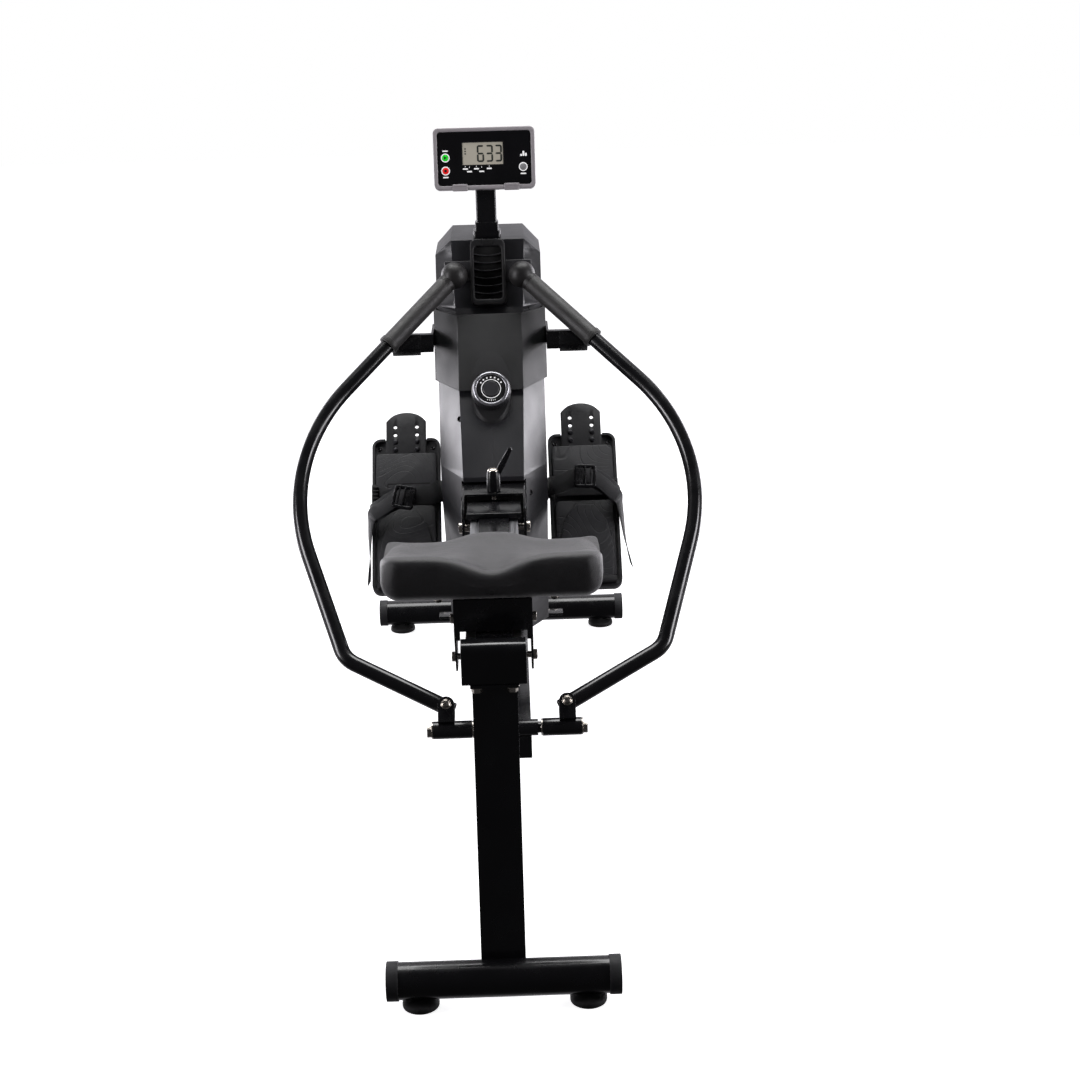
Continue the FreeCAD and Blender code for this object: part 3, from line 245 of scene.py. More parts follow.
MATS = {
    "black_paint": surface("gloss_black_powder", (0.0055, 0.0055, 0.0065), 0.24, grain=(420, 0.10), coat=0.45,
                           blotch=9),
    "housing_plastic": surface("satin_housing", (0.020, 0.020, 0.023), 0.40, grain=(1500, 0.16), blotch=6,
                               smear=0.05),
    "guard_plastic": surface("matt_guard", (0.017, 0.017, 0.018), 0.52, grain=(1300, 0.22), blotch=7, smear=0.06),
    "clip_plastic": surface("gloss_clip", (0.008, 0.008, 0.009), 0.28, grain=(700, 0.08)),
    "cap_plastic": surface("textured_cap", (0.024, 0.024, 0.026), 0.58, grain=(950, 0.45), smear=0.1),
    "foot_rubber": surface("foot_rubber", (0.013, 0.013, 0.013), 0.72, grain=(600, 0.3), smear=0.12),
    "track_steel": surface("drawn_steel", (0.52, 0.52, 0.54), 0.36, 1.0, grain=(260, 0.12), tint=0.12, smear=0.12,
                           stretch=(6, 0.25, 6)),
    "nickel": surface("nickel_plate", (0.74, 0.69, 0.62), 0.24, 1.0, grain=(500, 0.05), tint=0.1, smear=0.1,
                      blotch=60),
    "shaft_steel": surface("blacked_steel", (0.03, 0.03, 0.034), 0.34, 0.7, grain=(400, 0.1), smear=0.1),
    "wheel_iron": surface("machined_iron", (0.16, 0.16, 0.17), 0.42, 1.0, grain=(300, 0.2), smear=0.12),
    "roller_nylon": surface("natural_nylon", (0.62, 0.61, 0.57), 0.46, grain=(500, 0.1), tint=0.06),
    "grip_rubber": surface("grip_rubber", (0.024, 0.023, 0.022), 0.50, grain=(1100, 0.3), sheen=0.2, smear=0.07),
    "ball_plastic": surface("ball_plastic", (0.019, 0.018, 0.018), 0.44, grain=(900, 0.16), smear=0.06),
    "seat_skin": surface("moulded_seat_skin", (0.017, 0.0165, 0.018), 0.46, grain=(1700, 0.35), sheen=0.25,
                         smear=0.06, blotch=12, extra=pebbles(620, 0.8)),
    "lever_plastic": surface("lever_plastic", (0.006, 0.006, 0.007), 0.24, grain=(900, 0.12)),
    "knob_plastic": surface("knob_plastic", (0.022, 0.022, 0.024), 0.40, grain=(1200, 0.3)),
    "knob_silver": surface("silver_ring", (0.42, 0.42, 0.45), 0.30, 0.85, grain=(900, 0.06), tint=0.08, blotch=70),
    # the monitor grey, the LCD and the green and red buttons glow a little: painted light that brightens them,
    # none of them is a lamp
    "monitor_plastic": surface("monitor_grey", (0.40, 0.375, 0.39), 0.30, grain=(1100, 0.1), tint=0.06, painted_glow=0.05),
    "lcd": surface("lcd_grey_green", (0.46, 0.43, 0.36), 0.22, grain=(900, 0.02), tint=0.05, coat=0.6, painted_glow=0.26),
    "button_green": surface("button_green", (0.01, 0.62, 0.02), 0.40, grain=(700, 0.08), tint=0.1, painted_glow=0.45),
    "button_red": surface("button_red", (0.75, 0.006, 0.006), 0.40, grain=(700, 0.08), tint=0.1, painted_glow=0.45),
    "button_grey": surface("button_grey", (0.34, 0.34, 0.35), 0.45, grain=(700, 0.15), tint=0.1),
    "pedal_plastic": surface("matt_pedal", (0.016, 0.016, 0.018), 0.50, grain=(1200, 0.3), smear=0.08),
    "buckle_plastic": surface("gloss_buckle", (0.008, 0.008, 0.009), 0.26, grain=(800, 0.08)),
}
MATS["webbing"] = webbing_material()
EXTRA = {
    "tread": surface("contoured_tread", (0.022, 0.022, 0.025), 0.48, grain=(1200, 0.25), smear=0.07,
                     extra=contour_lines(26)),
    "monitor_face": surface("monitor_face", (0.006, 0.006, 0.007), 0.16, grain=(900, 0.02), coat=0.5),
    "ink": surface("lcd_ink", (0.035, 0.04, 0.035), 0.35, grain=(900, 0.02)),
    # the white print glows: painted light that lifts it, it is no lamp
    "white_print": surface("white_print", (0.80, 0.80, 0.80), 0.45, grain=(900, 0.03), tint=0.05, painted_glow=0.6),
    "knob_face": surface("knob_face", (0.010, 0.010, 0.011), 0.36, grain=(1500, 0.3)),
    # near black: painted shade in gaps, grooves, screw recesses and the rib well, and also the dark print of the
    # button signs
    "painted_shade_and_print": surface("painted_shade_and_print", (0.003, 0.003, 0.003), 0.8, grain=(900, 0.1)),
    "rib_plastic": surface("rib_plastic", (0.040, 0.040, 0.043), 0.36, grain=(1100, 0.15)),
}


# ---------------------------------------------------------------- mesh helpers

def applied(obj):
    """The object with its modifiers made part of its mesh."""
    graph = bpy.context.evaluated_depsgraph_get()
    graph.update()
    mesh = bpy.data.meshes.new_from_object(obj.evaluated_get(graph))
    obj.modifiers.clear()
    obj.data = mesh
    return obj


def shaded(obj, crease=SHARP_FROM):
    """Smooth shading with creases kept sharp."""
    obj.data.shade_smooth()
    obj.data.set_sharp_from_angle(angle=math.radians(crease))
    return obj


def piece(name, bm, place=None, crease=SHARP_FROM):
    """A new object from a bmesh, moved by place into the row frame."""
    if place is not None:
        bm.transform(place)
    bmesh.ops.recalc_face_normals(bm, faces=bm.faces)
    mesh = bpy.data.meshes.new(name)
    bm.to_mesh(mesh)
    bm.free()
    obj = bpy.data.objects.new(name, mesh)
    bpy.context.scene.collection.objects.link(obj)
    return shaded(obj, crease)


def dressed(obj, body, slot, material=None):
    """Gives a piece its material, by default its slot's, and the body that it rides on."""
    obj.data.materials.clear()
    obj.data.materials.append(material or MATS[slot])
    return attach(obj, body)


def rounded(bm, edges, radius, segments):
    """Rounds the given edges."""
    bmesh.ops.bevel(bm, geom=edges, offset=radius, segments=segments, profile=0.5, affect="EDGES",
                    clamp_overlap=True)


def add_block(bm, size, centre, radius, segments=3):
    """A box with rounded edges, added to bm."""
    made = bmesh.ops.create_cube(bm, size=1)
    verts = made["verts"]
    bmesh.ops.scale(bm, vec=Vector(size), verts=verts)
    bmesh.ops.translate(bm, vec=Vector(centre), verts=verts)
    edges = list({e for v in verts for e in v.link_edges})
    rounded(bm, edges, radius, segments)


def add_prism(bm, outline, low, high, radius=0.0, segments=2):
    """A flat plate of any outline between two heights along local Z, with its face edges rounded."""
    base = [bm.verts.new((x, y, low)) for x, y in outline]
    top = [bm.verts.new((x, y, high)) for x, y in outline]
    count = len(outline)
    faces = [bm.faces.new(base), bm.faces.new(top)]
    for i in range(count):
        faces.append(bm.faces.new((base[i], base[(i + 1) % count], top[(i + 1) % count], top[i])))
    bmesh.ops.recalc_face_normals(bm, faces=faces)
    if radius:
        rim = [e for f in faces[:2] for e in f.edges]
        rounded(bm, rim, radius, segments)


def rounded_rectangle(width, height, radius, steps=6, centre=(0, 0)):
    """The outline of a rectangle with rounded corners."""
    points = []
    for quarter, (sx, sy) in enumerate(((1, 1), (-1, 1), (-1, -1), (1, -1))):
        for i in range(steps + 1):
            turn = math.radians(90 * (quarter + i / steps))
            points.append((centre[0] + sx * (width / 2 - radius) + radius * math.cos(turn),
                           centre[1] + sy * (height / 2 - radius) + radius * math.sin(turn)))
    return points


def add_turned(bm, profile, steps=48, centre=(0, 0), start=0.0, sweep=360.0):
    """A turned solid about local Z from (radius, height) points."""
    rings = []
    closed = sweep >= 360
    count = steps if closed else steps + 1
    for i in range(count):
        angle = math.radians(start + sweep * i / steps)
        rings.append([bm.verts.new((centre[0] + r * math.cos(angle), centre[1] + r * math.sin(angle), z))
                      for r, z in profile])
    for i in range(steps):
        one, two = rings[i], rings[(i + 1) % count]
        for k in range(len(profile) - 1):
            bm.faces.new((one[k], one[k + 1], two[k + 1], two[k]))
    bmesh.ops.remove_doubles(bm, verts=bm.verts, dist=1e-7)


def softened(node, radius, segments=3, angle=SOFT_FROM, weights=None, reshape=None):
    """A copy of a CAD node with rounded edges, which stands for it."""
    source = NODES[node]
    bm = bmesh.new()
    bm.from_mesh(source.data)
    bmesh.ops.remove_doubles(bm, verts=bm.verts, dist=2e-5)
    bmesh.ops.dissolve_limit(bm, angle_limit=math.radians(0.6), verts=bm.verts, edges=bm.edges,
                             delimit={"NORMAL"})
    mesh = bpy.data.meshes.new(node + "_soft")
    if reshape:
        reshape(bm)
    if weights:
        floats = bm.edges.layers.float
        layer = floats.get("bevel_weight_edge") or floats.new("bevel_weight_edge")
        for edge in bm.edges:
            turn = edge.calc_face_angle(0) if len(edge.link_faces) == 2 else 0
            if turn > math.radians(angle):
                edge[layer] = weights(edge)
    bm.to_mesh(mesh)
    bm.free()
    obj = bpy.data.objects.new(node + "_look", mesh)
    bpy.context.scene.collection.objects.link(obj)
    bevel = obj.modifiers.new("edges", "BEVEL")
    bevel.width = radius
    bevel.segments = segments
    bevel.limit_method = "WEIGHT" if weights else "ANGLE"
    bevel.angle_limit = math.radians(angle)
    bevel.use_clamp_overlap = True
    bevel.harden_normals = False
    applied(obj)
    shaded(obj, 40)
    dressed(obj, BODY_OF[node], SLOT_OF[node])
    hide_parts(node)
    return obj


def dress_cad_nodes():
    """Gives every CAD node the detailed material of its slot."""
    for node, obj in NODES.items():
        obj.data.materials.clear()
        obj.data.materials.append(MATS[SLOT_OF[node]])


def soften_frame():
    """Copies with rounded edges of the steel and plastic parts that show hard corners."""
    for node, radius in (("low_beam", 0.004), ("rail_brackets", 0.0022), ("rear_leg", 0.005),
                         ("rail_tube", 0.0025), ("seat_carriage", 0.0012), ("fold_bracket", 0.0016),
                         ("track_strips", 0.0008), ("arm_clips", 0.0018), ("knob_pod", 0.0015),
                         ("mast", 0.0015), ("front_end_caps", 0.002), ("rear_end_caps", 0.002),
                         ("arm_sleeve_left", 0.001), ("arm_sleeve_right", 0.001),
                         ("frame_bolts", 0.0005), ("roller_bolts", 0.0005), ("rail_bolts", 0.0008),
                         ("ear_bolt_left", 0.0005), ("ear_bolt_right", 0.0005),
                         ("arm_grip_left", 0.0015), ("arm_grip_right", 0.0015)):
        softened(node, radius, 3)


def seam_aware(edge):
    """A sharp crease at the housing's seam, a broad fold at the roof and a soft one elsewhere."""
    if all(abs(v.co.x) < SEAM_HALF for v in edge.verts):
        return SEAM_CREASE
    at_roof = all(v.co.z > ROOF_HEIGHT and v.co.y < ROOF_DEPTH for v in edge.verts)
    return ROOF_FOLD if at_roof else OTHER_FOLD


def rim_aware(edge):
    """Thin rounding on the guard's rims and a wide one on its folds."""
    return RIM_CREASE if edge.calc_face_angle(0) > math.radians(RIM_FOLD) else 1.0


def one_shell(bm):
    """Joins the housing's two stacked solids, and lets the spine widen towards the top."""
    walls = [f for f in bm.faces if all(abs(v.co.z - HOUSING_BEND) < 1e-4 for v in f.verts)]
    bmesh.ops.delete(bm, geom=walls, context="FACES")
    bmesh.ops.remove_doubles(bm, verts=bm.verts, dist=5e-5)
    for vert in bm.verts:
        if SPINE_NEAR < abs(vert.co.x) < SPINE_FAR and vert.co.y < SPINE_DEPTH:
            rise = min(max((vert.co.z - SPINE_START) / SPINE_RUN, 0.0), 1.0)
            vert.co.x += math.copysign(SPINE_GAIN * rise ** 1.3, vert.co.x)


def soften_housing():
    """The two housing halves and the guard with folds rounded by their place."""
    for node in ("housing_left", "housing_right"):
        softened(node, 0.028, 5, 7, weights=seam_aware, reshape=one_shell)
    softened("guard_shell", 0.034, 7, 9, weights=rim_aware)


# ---------------------------------------------------------------- places, in millimetres

def local(origin, turn):
    """A frame given in millimetres, turned about X by degrees."""
    spin = Matrix.Rotation(math.radians(turn), 4, "X")
    return Matrix.Translation([v * 0.001 for v in origin]) @ spin @ Matrix.Scale(0.001, 4)


ROW = Matrix.Scale(0.001, 4)
MONITOR = local((0, 392, 942), 78)
KNOB = local((0, 198, 622), 58)
PEDAL = local((0, 312, 401), PEDAL_TILT)
RIBS = local((0, 332, 740), 69.44) @ Matrix.Translation((0, 2, 0.3))
FLIP = Matrix.Scale(-1, 4, (1, 0, 0))


def add_ring(bm, outer, inner, low, high, radius=0.0, segments=2):
    """A flat frame between two outlines with as many points each."""
    count = len(outer)
    loops = [[bm.verts.new((x, y, z)) for x, y in line] for line, z in
             ((outer, low), (outer, high), (inner, high), (inner, low))]
    faces = []
    for k in range(4):
        one, two = loops[k], loops[(k + 1) % 4]
        for i in range(count):
            faces.append(bm.faces.new((one[i], one[(i + 1) % count], two[(i + 1) % count], two[i])))
    bmesh.ops.recalc_face_normals(bm, faces=faces)
    if radius:
        rims = []
        for loop in (loops[1], loops[2]):
            for i in range(count):
                rims.append(bm.edges.get((loop[i], loop[(i + 1) % count])))
        rounded(bm, rims, radius, segments)


def blended(a, b, c, d, t):
    """Catmull-Rom between b and c."""
    return 0.5 * ((2 * b) + (c - a) * t + (2 * a - 5 * b + 4 * c - d) * t * t
                  + (3 * b - a - 3 * c + d) * t ** 3)


def smooth_line(points, samples):
    """Catmull-Rom through the points, evenly sampled in its parameter."""
    ends = [points[0] * 2 - points[1]] + list(points) + [points[-1] * 2 - points[-2]]
    out = []
    runs = len(points) - 1
    for k in range(samples + 1):
        t = runs * k / samples
        i = min(int(t), runs - 1)
        t -= i
        out.append(blended(*ends[i:i + 4], t))
    return out


def ribbon(name, points, across, width, thick, place, samples=72):
    """A flat band through the points with its width along across, and its length in metres."""
    line = smooth_line([Vector(p) for p in points], samples)
    wide = smooth_line([Vector(w) for w in across], samples)
    bm = bmesh.new()
    layer = bm.loops.layers.uv.new("UVMap")
    section = ((-0.5, 0), (-0.47, 0.5), (-0.16, 0.56), (0.16, 0.56), (0.47, 0.5), (0.5, 0), (0.47, -0.5),
               (-0.47, -0.5))
    rings, travelled = [], [0.0]
    for k, point in enumerate(line):
        ahead = line[min(k + 1, samples)] - line[max(k - 1, 0)]
        side = wide[k] - ahead * (wide[k].dot(ahead) / ahead.length_squared)
        side.normalize()
        out = side.cross(ahead.normalized())
        rings.append([bm.verts.new(point + side * (u * width) + out * (v * thick)) for u, v in section])
        if k:
            travelled.append(travelled[-1] + (point - line[k - 1]).length)
    count = len(section)
    for k in range(samples):
        for i in range(count):
            j = (i + 1) % count
            face = bm.faces.new((rings[k][i], rings[k][j], rings[k + 1][j], rings[k + 1][i]))
            corners = ((k, i), (k, j), (k + 1, j), (k + 1, i))
            for loop, (row, column) in zip(face.loops, corners):
                loop[layer].uv = (travelled[row] * 0.001, (section[column][0] + 0.5) * width * 0.001)
    bm.faces.new(rings[0])
    bm.faces.new(rings[-1][::-1])
    return piece(name, bm, place, 45), travelled[-1] * 0.001


# ---------------------------------------------------------------- monitor

SEGMENTS = {"6": "afedcg", "3": "abcdg"}


def add_digit(bm, text, x, low, width, height, low_z, high_z):
    """One seven-segment figure, its foot at (x, low)."""
    stroke = width * 0.24
    gap = stroke * 0.16
    half = height / 2
    middle, near, far = x + width / 2, x + stroke / 2, x + width - stroke / 2
    places = {"a": (middle, low + height - stroke / 2, True), "g": (middle, low + half, True),
              "d": (middle, low + stroke / 2, True), "f": (near, low + half * 1.5, False),
              "e": (near, low + half * 0.5, False), "b": (far, low + half * 1.5, False),
              "c": (far, low + half * 0.5, False)}
    for key in SEGMENTS[text]:
        cx, cy, flat = places[key]
        run = (width if flat else half) / 2 - gap - stroke * 0.25
        tip = stroke / 2
        outline = [(-run - tip * 0.2, 0), (-run + tip, -tip), (run - tip, -tip), (run + tip * 0.2, 0),
                   (run - tip, tip), (-run + tip, tip)]
        if not flat:
            outline = [(-v, u) for u, v in outline]
        add_prism(bm, [(cx + u, cy + v) for u, v in outline], low_z, high_z)


def monitor():
    """Pale bezel, black face, window with figures, rings round the buttons and two clips under it."""
    softened("monitor_case", 0.0022, 3)
    bm = bmesh.new()
    add_ring(bm, rounded_rectangle(174.6, 104.6, 9, centre=CASE_CENTRE),
             rounded_rectangle(161, 91, 5.5, centre=CASE_CENTRE), 36, 43.4, 1.6, 3)
    dressed(piece("monitor_bezel", bm, MONITOR), "monitor", "monitor_plastic")
    bm = bmesh.new()
    add_ring(bm, rounded_rectangle(161.4, 91.4, 5.5, centre=CASE_CENTRE),
             rounded_rectangle(70.6, 38.6, 1.2, centre=WINDOW_CENTRE), 39.4, 41.35, 0.15, 1)
    dressed(piece("monitor_face", bm, MONITOR), "monitor", "monitor_plastic", EXTRA["monitor_face"])
    bm = bmesh.new()
    add_ring(bm, rounded_rectangle(72.4, 40.4, 1.6, centre=WINDOW_CENTRE),
             rounded_rectangle(69.4, 37.4, 0.8, centre=WINDOW_CENTRE), 40.9, 41.7, 0.25, 1)
    # the rim round the window is near black: painted shade in the gap round the window
    dressed(piece("window_rim", bm, MONITOR), "monitor", "monitor_plastic", EXTRA["painted_shade_and_print"])
    bm = bmesh.new()
    for text, x in (("6", -12.4), ("3", 3.0), ("3", 18.4)):
        add_digit(bm, text, x, 37.6, 12.2, 28.6, INK_LOW, 40.98)
    for level in (52, 56.2, 60.4):
        add_prism(bm, rounded_rectangle(2.6, 2.4, 0.5, 2, centre=(-32.5, level)), INK_LOW, 40.95)
    dressed(piece("window_figures", bm, MONITOR), "monitor", "lcd", EXTRA["ink"])
    bm = bmesh.new()
    for x, z in BUTTON_AT.values():
        circle = [(math.cos(i * math.pi / 18), math.sin(i * math.pi / 18)) for i in range(36)]
        add_ring(bm, [(x + 7.5 * u, z + 7.5 * v) for u, v in circle],
                 [(x + 5.8 * u, z + 5.8 * v) for u, v in circle], 41.2, 41.9, 0.2, 1)
    for i, x in enumerate((-33, -26, -14, -5, 8)):
        add_prism(bm, rounded_rectangle(8.6, 2.4, 0.8, 2, centre=(x, 26.5 - 4.6 * (i % 2))),
                  PRINT_LOW, PRINT_HIGH)
        add_prism(bm, rounded_rectangle(0.8, 2.6, 0.3, 2, centre=(x, 30.6 - 1.2 * (i % 2))),
                  PRINT_LOW, PRINT_HIGH)
    for x, z in ((-67, 57.5), (-67, 13), (66.5, 16.5)):
        add_prism(bm, rounded_rectangle(9.5, 2.2, 0.8, 2, centre=(x, z)), PRINT_LOW, PRINT_HIGH)
    for i, tall in enumerate((3.5, 8.5, 5.0)):
        add_prism(bm, rounded_rectangle(3.2, tall, 0.7, 2, centre=(63.4 + 4.1 * i, 46 + tall / 2)),
                  PRINT_LOW, PRINT_HIGH)
    dressed(piece("printed_marks", bm, MONITOR), "monitor", "monitor_plastic", EXTRA["white_print"])
    bm = bmesh.new()
    for x in (-43, 46):
        add_block(bm, (26, 12, 6.5), (x, -5.0, 41.8), 1.4)
        add_block(bm, (21, 3.5, 2.4), (x, -1.6, 45.2), 0.8)
    dressed(piece("monitor_clips", bm, MONITOR), "monitor", "monitor_plastic")
    bm = bmesh.new()
    add_prism(bm, [(-69, 43.4), (-69, 48.6), (-64.2, 46)], 43.2, 43.5)
    add_prism(bm, rounded_rectangle(4.2, 4.2, 1.4, 3, centre=BUTTON_AT["button_stop"]), 43.2, 43.5)
    # the signs on the buttons are dark print
    dressed(piece("button_signs", bm, MONITOR), "monitor", "monitor_plastic", EXTRA["painted_shade_and_print"])
    profile = [(0, 43.3), (2.6, 43.2), (4.4, 42.8), (5.2, 42.2), (5.5, 41.2), (5.5, 38.4), (0, 38.4)]
    for node, (x, z) in BUTTON_AT.items():
        bm = bmesh.new()
        add_turned(bm, profile, 40, (x, z))
        cap = dressed(piece(node + "_cap", bm, MONITOR), node, SLOT_OF[node])
        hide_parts(node)


# ---------------------------------------------------------------- housing details

def housing_details():
    """Collar at the mast's foot and four screws on the flanks."""
    bm = bmesh.new()
    add_block(bm, (41, 31, 30), (0, 392, 867), 3.0)
    dressed(piece("mast_collar", bm, ROW), "front_frame", "black_paint")
    bm = bmesh.new()
    for x, y, z in ((-55, 189, 578), (61, 137, 460), (-52, 107, 461), (72, 346, 733)):
        spot = Matrix.Translation((x, y, z)) @ Matrix.Rotation(math.radians(58), 4, "X") @ \
            Matrix.Rotation(math.radians(42 if x > 0 else -42), 4, "Y")
        screw = bmesh.new()
        add_turned(screw, [(0, -1.5), (3.0, -1.5), (3.4, 0.8), (4.6, 1.4), (5.0, 0.4), (5.0, -4)], 28)
        screw.transform(spot)
        mesh = bpy.data.meshes.new("screw")
        screw.to_mesh(mesh)
        screw.free()
        bm.from_mesh(mesh)
    # the screws are drawn near black: painted shade in their recesses
    dressed(piece("housing_screws", bm, ROW), "front_frame", "housing_plastic", EXTRA["painted_shade_and_print"])


# ---------------------------------------------------------------- tension knob

def tension_knob():
    """A fluted rim, silver bezel, black face with a ring of dots round a darker middle."""
    bm = bmesh.new()
    add_turned(bm, [(0, 0.3), (31, 0.3), (33.4, 1.4), (34, 3), (33.8, 6), (33.4, 9), (32.9, 11.5),
                    (31.6, 13.8), (30.6, 15.2), (24, 15.3), (0, 15.3)], 144)
    for vert in bm.verts:
        run = math.hypot(vert.co.x, vert.co.y)
        if run > 32 and 1 < vert.co.z < 12:
            turn = math.atan2(vert.co.y, vert.co.x)
            vert.co.xy *= 1 - 0.016 * max(0.0, math.cos(36 * turn)) ** 2
    rim = dressed(piece("knob_rim", bm, KNOB, 40), "tension_knob", "knob_plastic")
    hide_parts("tension_knob")
    bm = bmesh.new()
    add_turned(bm, [(24.6, 15.3), (24.8, 16.8), (25.6, 17.7), (27.4, 18.1), (29.4, 17.5), (30.6, 16.2),
                    (30.8, 15.3)], 96)
    ring = dressed(piece("knob_ring", bm, KNOB, 60), "tension_knob", "knob_silver")
    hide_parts("knob_bezel")
    bm = bmesh.new()
    add_turned(bm, [(0, 16.3), (13.4, 16.3), (13.8, 16.0), (23.6, 16.0), (24.7, 15.6)], 96)
    dressed(piece("knob_disc", bm, KNOB, 20), "tension_knob", "knob_plastic", EXTRA["knob_face"])
    bm = bmesh.new()
    add_turned(bm, [(15.7, 16.0), (15.8, 16.25), (16.7, 16.25), (16.8, 16.0)], 96)
    for i in range(7):
        turn = math.radians(90 + 19 * (i - 3))
        add_turned(bm, [(0, 16.25), (1.25, 16.22), (1.35, 16.0)], 16,
                   (20.4 * math.cos(turn), 20.4 * math.sin(turn)))
    for i in range(5):
        turn = math.radians(270 + 9 * (i - 2))
        spot = Vector((20.2 * math.cos(turn), 20.2 * math.sin(turn)))
        add_prism(bm, rounded_rectangle(1.0, 2.6 if i == 2 else 1.7, 0.4, 2, centre=spot), 15.95, 16.2)
    dressed(piece("knob_marks", bm, KNOB), "tension_knob", "knob_plastic", EXTRA["white_print"])
    bm = bmesh.new()
    add_turned(bm, [(0, 16.7), (12.6, 16.7), (13.3, 16.2)], 64)
    dressed(piece("knob_middle", bm, KNOB, 20), "tension_knob", "knob_plastic", EXTRA["rib_plastic"])


# ---------------------------------------------------------------- ribbed frame

def ribbed_frame():
    """A rounded frame with an arched top, six bowed ribs over a well drawn near black as painted shade, and a bar
    behind it.
    """
    def arched(width, low, high, radius, rise):
        line = rounded_rectangle(width, high - low, radius, 8, centre=(0, (low + high) / 2))
        return [(x, y + (rise * (1 - (2 * x / width) ** 2) if y > (low + high) / 2 else 0)) for x, y in line]
    bm = bmesh.new()
    add_ring(bm, arched(61, 0, 114, 9, 5), arched(48, 11, 103, 5, 3), 0, 12.2, 2.6, 4)
    frame_piece = dressed(piece("ribs_surround", bm, RIBS), "front_frame", "guard_plastic")
    bm = bmesh.new()
    add_block(bm, (152, 36, 4), (0, 62, 2.2), 1.6)
    add_block(bm, (50, 100, 2), (0, 57, 1.2), 0.6)
    dressed(piece("ribs_cross_bar", bm, RIBS), "front_frame", "guard_plastic", EXTRA["rib_plastic"])
    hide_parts("ribbed_frame")
    bm = bmesh.new()
    add_prism(bm, rounded_rectangle(47, 93, 4, centre=(0, 57)), 4.2, 4.6)
    add_block(bm, (17, 8, 5), (0, 110, 11.2), 1.2)
    add_block(bm, (15, 5, 4), (0, 3.6, 11.6), 1.0)
    # the well is near black: painted shade behind the ribs
    dressed(piece("ribs_well", bm, RIBS), "front_frame", "guard_plastic", EXTRA["painted_shade_and_print"])
    bm = bmesh.new()
    for i in range(6):
        level = 24 + 13.4 * i
        upper, lower = [], []
        for k in range(13):
            x = -24.4 + 48.8 * k / 12
            sag = -3.6 * (1 - (x / 24.4) ** 2)
            upper.append((x, level + sag + 1.1))
            lower.append((x, level + sag - 1.1))
        add_prism(bm, lower + upper[::-1], 4.4, 10.6, 0.7, 2)
    dressed(piece("ribs_bowed", bm, RIBS), "front_frame", "guard_plastic", EXTRA["rib_plastic"])


# ---------------------------------------------------------------- seat

def seat_ring(x):
    """The pad's outline across the rail at one station: (y, z) in millimetres, bottom rear first."""
    side = abs(x) / 150
    rim = 582.5 - 22 * math.exp(-(x / 43) ** 2) + 0.5 * side
    toe = 547 + 4 * side ** 4 + 12 * math.exp(-(abs(x) / 52) ** 3)
    dish = 7 * math.exp(-((abs(x) - 78) / 46) ** 2)
    nose = 6 * math.exp(-(x / 62) ** 2)
    return [(-540, 525), (-550, 533), (-552.5, 545), (-552, rim - 19), (-548.5, rim - 6),
            (-541, rim + 0.5), (-526, rim), (-495, 0.74 * rim + 0.26 * toe - dish * 0.6),
            (-455, 0.5 * rim + 0.5 * toe - dish),
            (-410, 0.24 * rim + 0.76 * toe - dish * 0.8), (-376 + nose, toe - 0.5), (-358 + nose, toe - 4.5),
            (-350 + nose, toe - 13), (-351 + nose, 532), (-358 + nose, 526), (-370, 523.6),
            (-450, 523.6), (-528, 523.6)]


